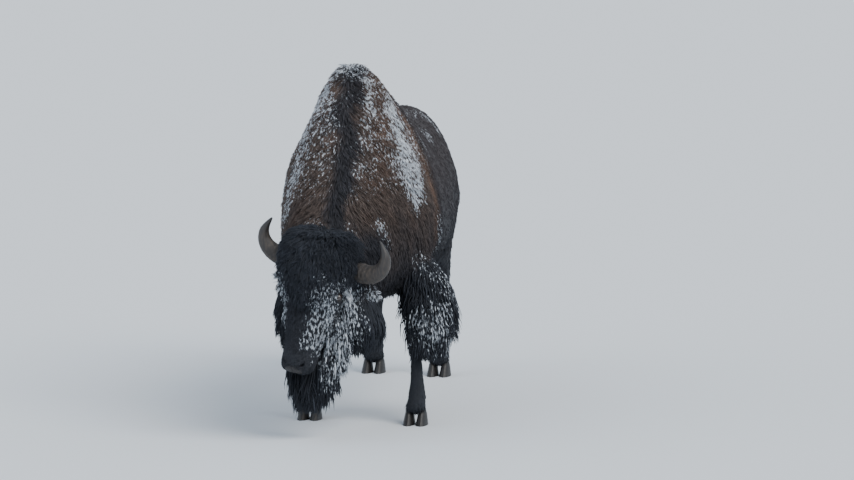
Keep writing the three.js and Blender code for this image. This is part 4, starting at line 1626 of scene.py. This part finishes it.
def make_horn(side, word):
    horn = smooth_copy("horn_" + word, "horn_bull_" + word, 3, HORN_SWELL)
    head = in_head(points_of(horn)) * [side, 1, 1]
    share = share_along(head, HORN_ROUTE)
    rings = np.sin(share * RING_TURNS + 1.5 * waves(head, 0.08, 41)) * (1 - ease(share, 0.30, 0.62))
    chips = waves(head, 0.020, 43) * (1 - ease(share, 0.35, 0.75))
    move = RING_HEIGHT * rings + CHIP_HEIGHT * chips
    set_points(horn, points_of(horn) + normals_of(horn) * move[:, None])
    write_attribute(horn, "along", share)
    return horn


def make_horn_finish():
    finish = Finish("horn_sheath")
    along = finish.attribute("along")
    streaks = finish.noise(0.012, detail=5, scale=(1, 1, 0.25))
    fine = finish.noise(0.0022, detail=4)
    colour = finish.colours(HORN_DARK, HORN_PALE, streaks.between(0.40, 0.68))
    colour = finish.colours(colour, HORN_TIP, along.between(0.60, 0.95))
    colour = finish.colours(HORN_BASE, colour, along.between(0.18, 0.34) + streaks * 0.3 - 0.1)
    rough = 0.62 - along.between(0.4, 0.9) * 0.30 + fine * 0.12
    finish.set(Base_Color=colour, Roughness=rough, Normal=finish.bump(fine + streaks, 0.0012, 0.9))
    return finish.material


HORN_FINISH = make_horn_finish()
horns = [make_horn(1, "left"), make_horn(-1, "right")]
for horn in horns:
    horn.data.materials.append(HORN_FINISH)
print("horns:", [len(horn.data.polygons) for horn in horns], "faces")

# %% [markdown]
# ## Eyes
# A bison's eye is almost black: a brown iris with a long pupil, behind a clear, wet cornea that bulges a
# little. One ball with its pole turned outward gives the bulge by formula. The iris and the pupil are
# drawn by three measured values, stored on the points: how near the pole, and how far along the opening
# of the lids and across it.

# %% Eyes
CORNEA_RISE = 0.0014
CORNEA_EDGE = 0.82  # cosine of the angle from the pole where the cornea ends
IRIS_DARK, IRIS_PALE = (0.012, 0.006, 0.004), (0.036, 0.017, 0.009)
PUPIL_BLACK = (0.003, 0.003, 0.004)
EYE_WHITE = (0.045, 0.032, 0.028)  # far from white in a bison


def make_eye(side, word):
    middle, outward, along, across = eye_axes(side)
    pole = Vector(HEAD_TURN @ outward)
    bpy.ops.mesh.primitive_uv_sphere_add(
        segments=64, ring_count=48, radius=EYE_RADIUS,
        location=Vector(from_head(middle[None])[0]), rotation=pole.to_track_quat("Z", "Y").to_euler(),
    )
    eye = bpy.context.object
    eye.name = "eyeball_" + word
    bpy.ops.object.transform_apply(location=True, rotation=True, scale=True)
    offset = (in_head(points_of(eye)) - middle) / EYE_RADIUS
    facing = offset @ outward
    rise = CORNEA_RISE * ease(facing, CORNEA_EDGE - 0.04, 1.0)
    set_points(eye, points_of(eye) + (offset @ HEAD_TURN.T) * rise[:, None])
    write_attribute(eye, "facing", facing)
    write_attribute(eye, "level", offset @ along)
    write_attribute(eye, "height", offset @ across)
    bpy.ops.object.shade_smooth()
    return eye


def make_eye_finish():
    finish = Finish("wet_eye", Roughness=0.12, Coat_Weight=1.0, Coat_Roughness=0.03)
    facing, level, height = (finish.attribute(name) for name in ("facing", "level", "height"))
    fibres = finish.noise(0.0016, detail=4)
    iris = finish.colours(IRIS_DARK, IRIS_PALE, fibres)
    pupil = 1 - (level * level * 9 + height * height * 34).between(0.75, 1.05)
    colour = finish.colours(EYE_WHITE, iris, facing.between(0.76, 0.82))
    finish.set(Base_Color=finish.colours(colour, PUPIL_BLACK, pupil * facing.between(0.5, 0.6)))
    return finish.material


EYE_FINISH = make_eye_finish()
eyes = [make_eye(1, "left"), make_eye(-1, "right")]
for eye in eyes:
    eye.data.materials.append(EYE_FINISH)
print("eyes:", [len(eye.data.polygons) for eye in eyes], "faces")

# %% [markdown]
# ## Hooves
# Each foot has two claws and two dew claws. Their copies are subdivided too, but the edge of the sole is
# creased, so that it stays sharp and flat on the floor. Fine growth lines run level round the claw.

# %% Hooves
CLAW_SWELL, DEWCLAW_SWELL = 0.0012, 0.0005
LINE_HEIGHT = 0.0005
LINE_SPACING = 0.0028  # metres to a radian of the lines' wave
CLAW_NARROWING = 0.22  # from the sole to the coronet
CLAW_LEAN = 0.62  # where it narrows to, from toe to heel
HOOF_DARK, HOOF_PALE = (0.012, 0.011, 0.011), (0.034, 0.029, 0.026)


def make_claw(name):
    is_main = "hoof" in name
    levels, swell = (3, CLAW_SWELL) if is_main else (2, DEWCLAW_SWELL)
    claw = smooth_copy(name, "claw_" + name, levels, swell)
    points = points_of(claw)
    lines = LINE_HEIGHT * np.sin(points[:, 2] / LINE_SPACING) * ease(points[:, 2], 0.012, 0.02)
    moved = points + normals_of(claw) * (lines * is_main)[:, None]
    low, high = moved.min(0), moved.max(0)
    share = np.clip(moved[:, 2] / high[2], 0, 1)[:, None] * is_main
    waist = np.array([(low[0] + high[0]) / 2, mix(low[1], high[1], CLAW_LEAN)])
    moved[:, :2] = mix(moved[:, :2], waist, CLAW_NARROWING * share)
    moved[:, 2] = np.maximum(moved[:, 2], 0.0)
    set_points(claw, moved)
    return claw


def make_hoof_finish():
    finish = Finish("claw_horn")
    worn = finish.noise(0.010, detail=5)
    lines = finish.noise(0.0020, detail=3, scale=(0.2, 0.2, 1.0))
    finish.set(
        Base_Color=finish.colours(HOOF_DARK, HOOF_PALE, worn.between(0.50, 0.78)),
        Roughness=worn * 0.3 + 0.35,
        Normal=finish.bump(lines + worn, 0.0008, 0.6),
    )
    return finish.material


HOOF_FINISH = make_hoof_finish()
hoof_names = [name for name in nodes if "hoof" in name or "dewclaw" in name]
claws = [make_claw(name) for name in hoof_names]
for claw in claws:
    claw.data.materials.append(HOOF_FINISH)
print("claws:", len(claws), "lowest point", min(float(points_of(claw)[:, 2].min()) for claw in claws))

# %% [markdown]
# ## Floor, light and the pieces on the body
# A plain pale floor runs far out, so that it fills every view, and a broad soft light stands high on the
# animal's left, with a pale sky all round. Every piece rides on the one body of the still model and
# stands for the solids that it covers.

# %% Floor and light
FLOOR_SIDE = 800
FLOOR_PALE = (0.74, 0.77, 0.80)
SKY_COLOUR = (0.78, 0.88, 1.0, 1)
SKY_STRENGTH = 0.85


def make_floor():
    bpy.ops.mesh.primitive_plane_add(size=FLOOR_SIDE, location=(0, 0, 0))
    floor = bpy.context.object
    floor.name = "floor"
    finish = Finish("floor", Base_Color=FLOOR_PALE, Roughness=0.9)
    floor.data.materials.append(finish.material)


def add_sun(name, strength, spread_deg, direction, colour):
    """direction is where the light comes from."""
    bpy.ops.object.light_add(type="SUN", rotation=Vector(direction).to_track_quat("Z", "Y").to_euler())
    lamp = bpy.context.object
    lamp.name = name
    lamp.data.energy = strength
    lamp.data.angle = math.radians(spread_deg)
    lamp.data.color = colour


make_floor()
add_sun("key", 2.6, 40, (0.75, -0.55, 0.85), (1.0, 0.97, 0.93))
add_sun("fill", 0.7, 60, (-0.9, -0.7, 0.6), (0.86, 0.92, 1.0))
world = bpy.data.worlds.new("studio")
bpy.context.scene.world = world
world.use_nodes = True
sky = world.node_tree.nodes["Background"].inputs
sky["Color"].default_value = SKY_COLOUR
sky["Strength"].default_value = SKY_STRENGTH

# %% Which piece stands for which solid
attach(skin, "root")
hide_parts(*FLESH_NODES)
for piece in COAT:
    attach(piece, "root")
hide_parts("tail_switch")
for piece, word in zip(horns + eyes, ("left", "right") * 2):
    kind = "horn" if piece in horns else "eye"
    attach(piece, "root")
    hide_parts(kind + "_" + word)
for claw, name in zip(claws, hoof_names):
    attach(claw, "root")
    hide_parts(name)
print("pieces on the one body:", 1 + len(COAT) + len(horns) + len(eyes) + len(claws))
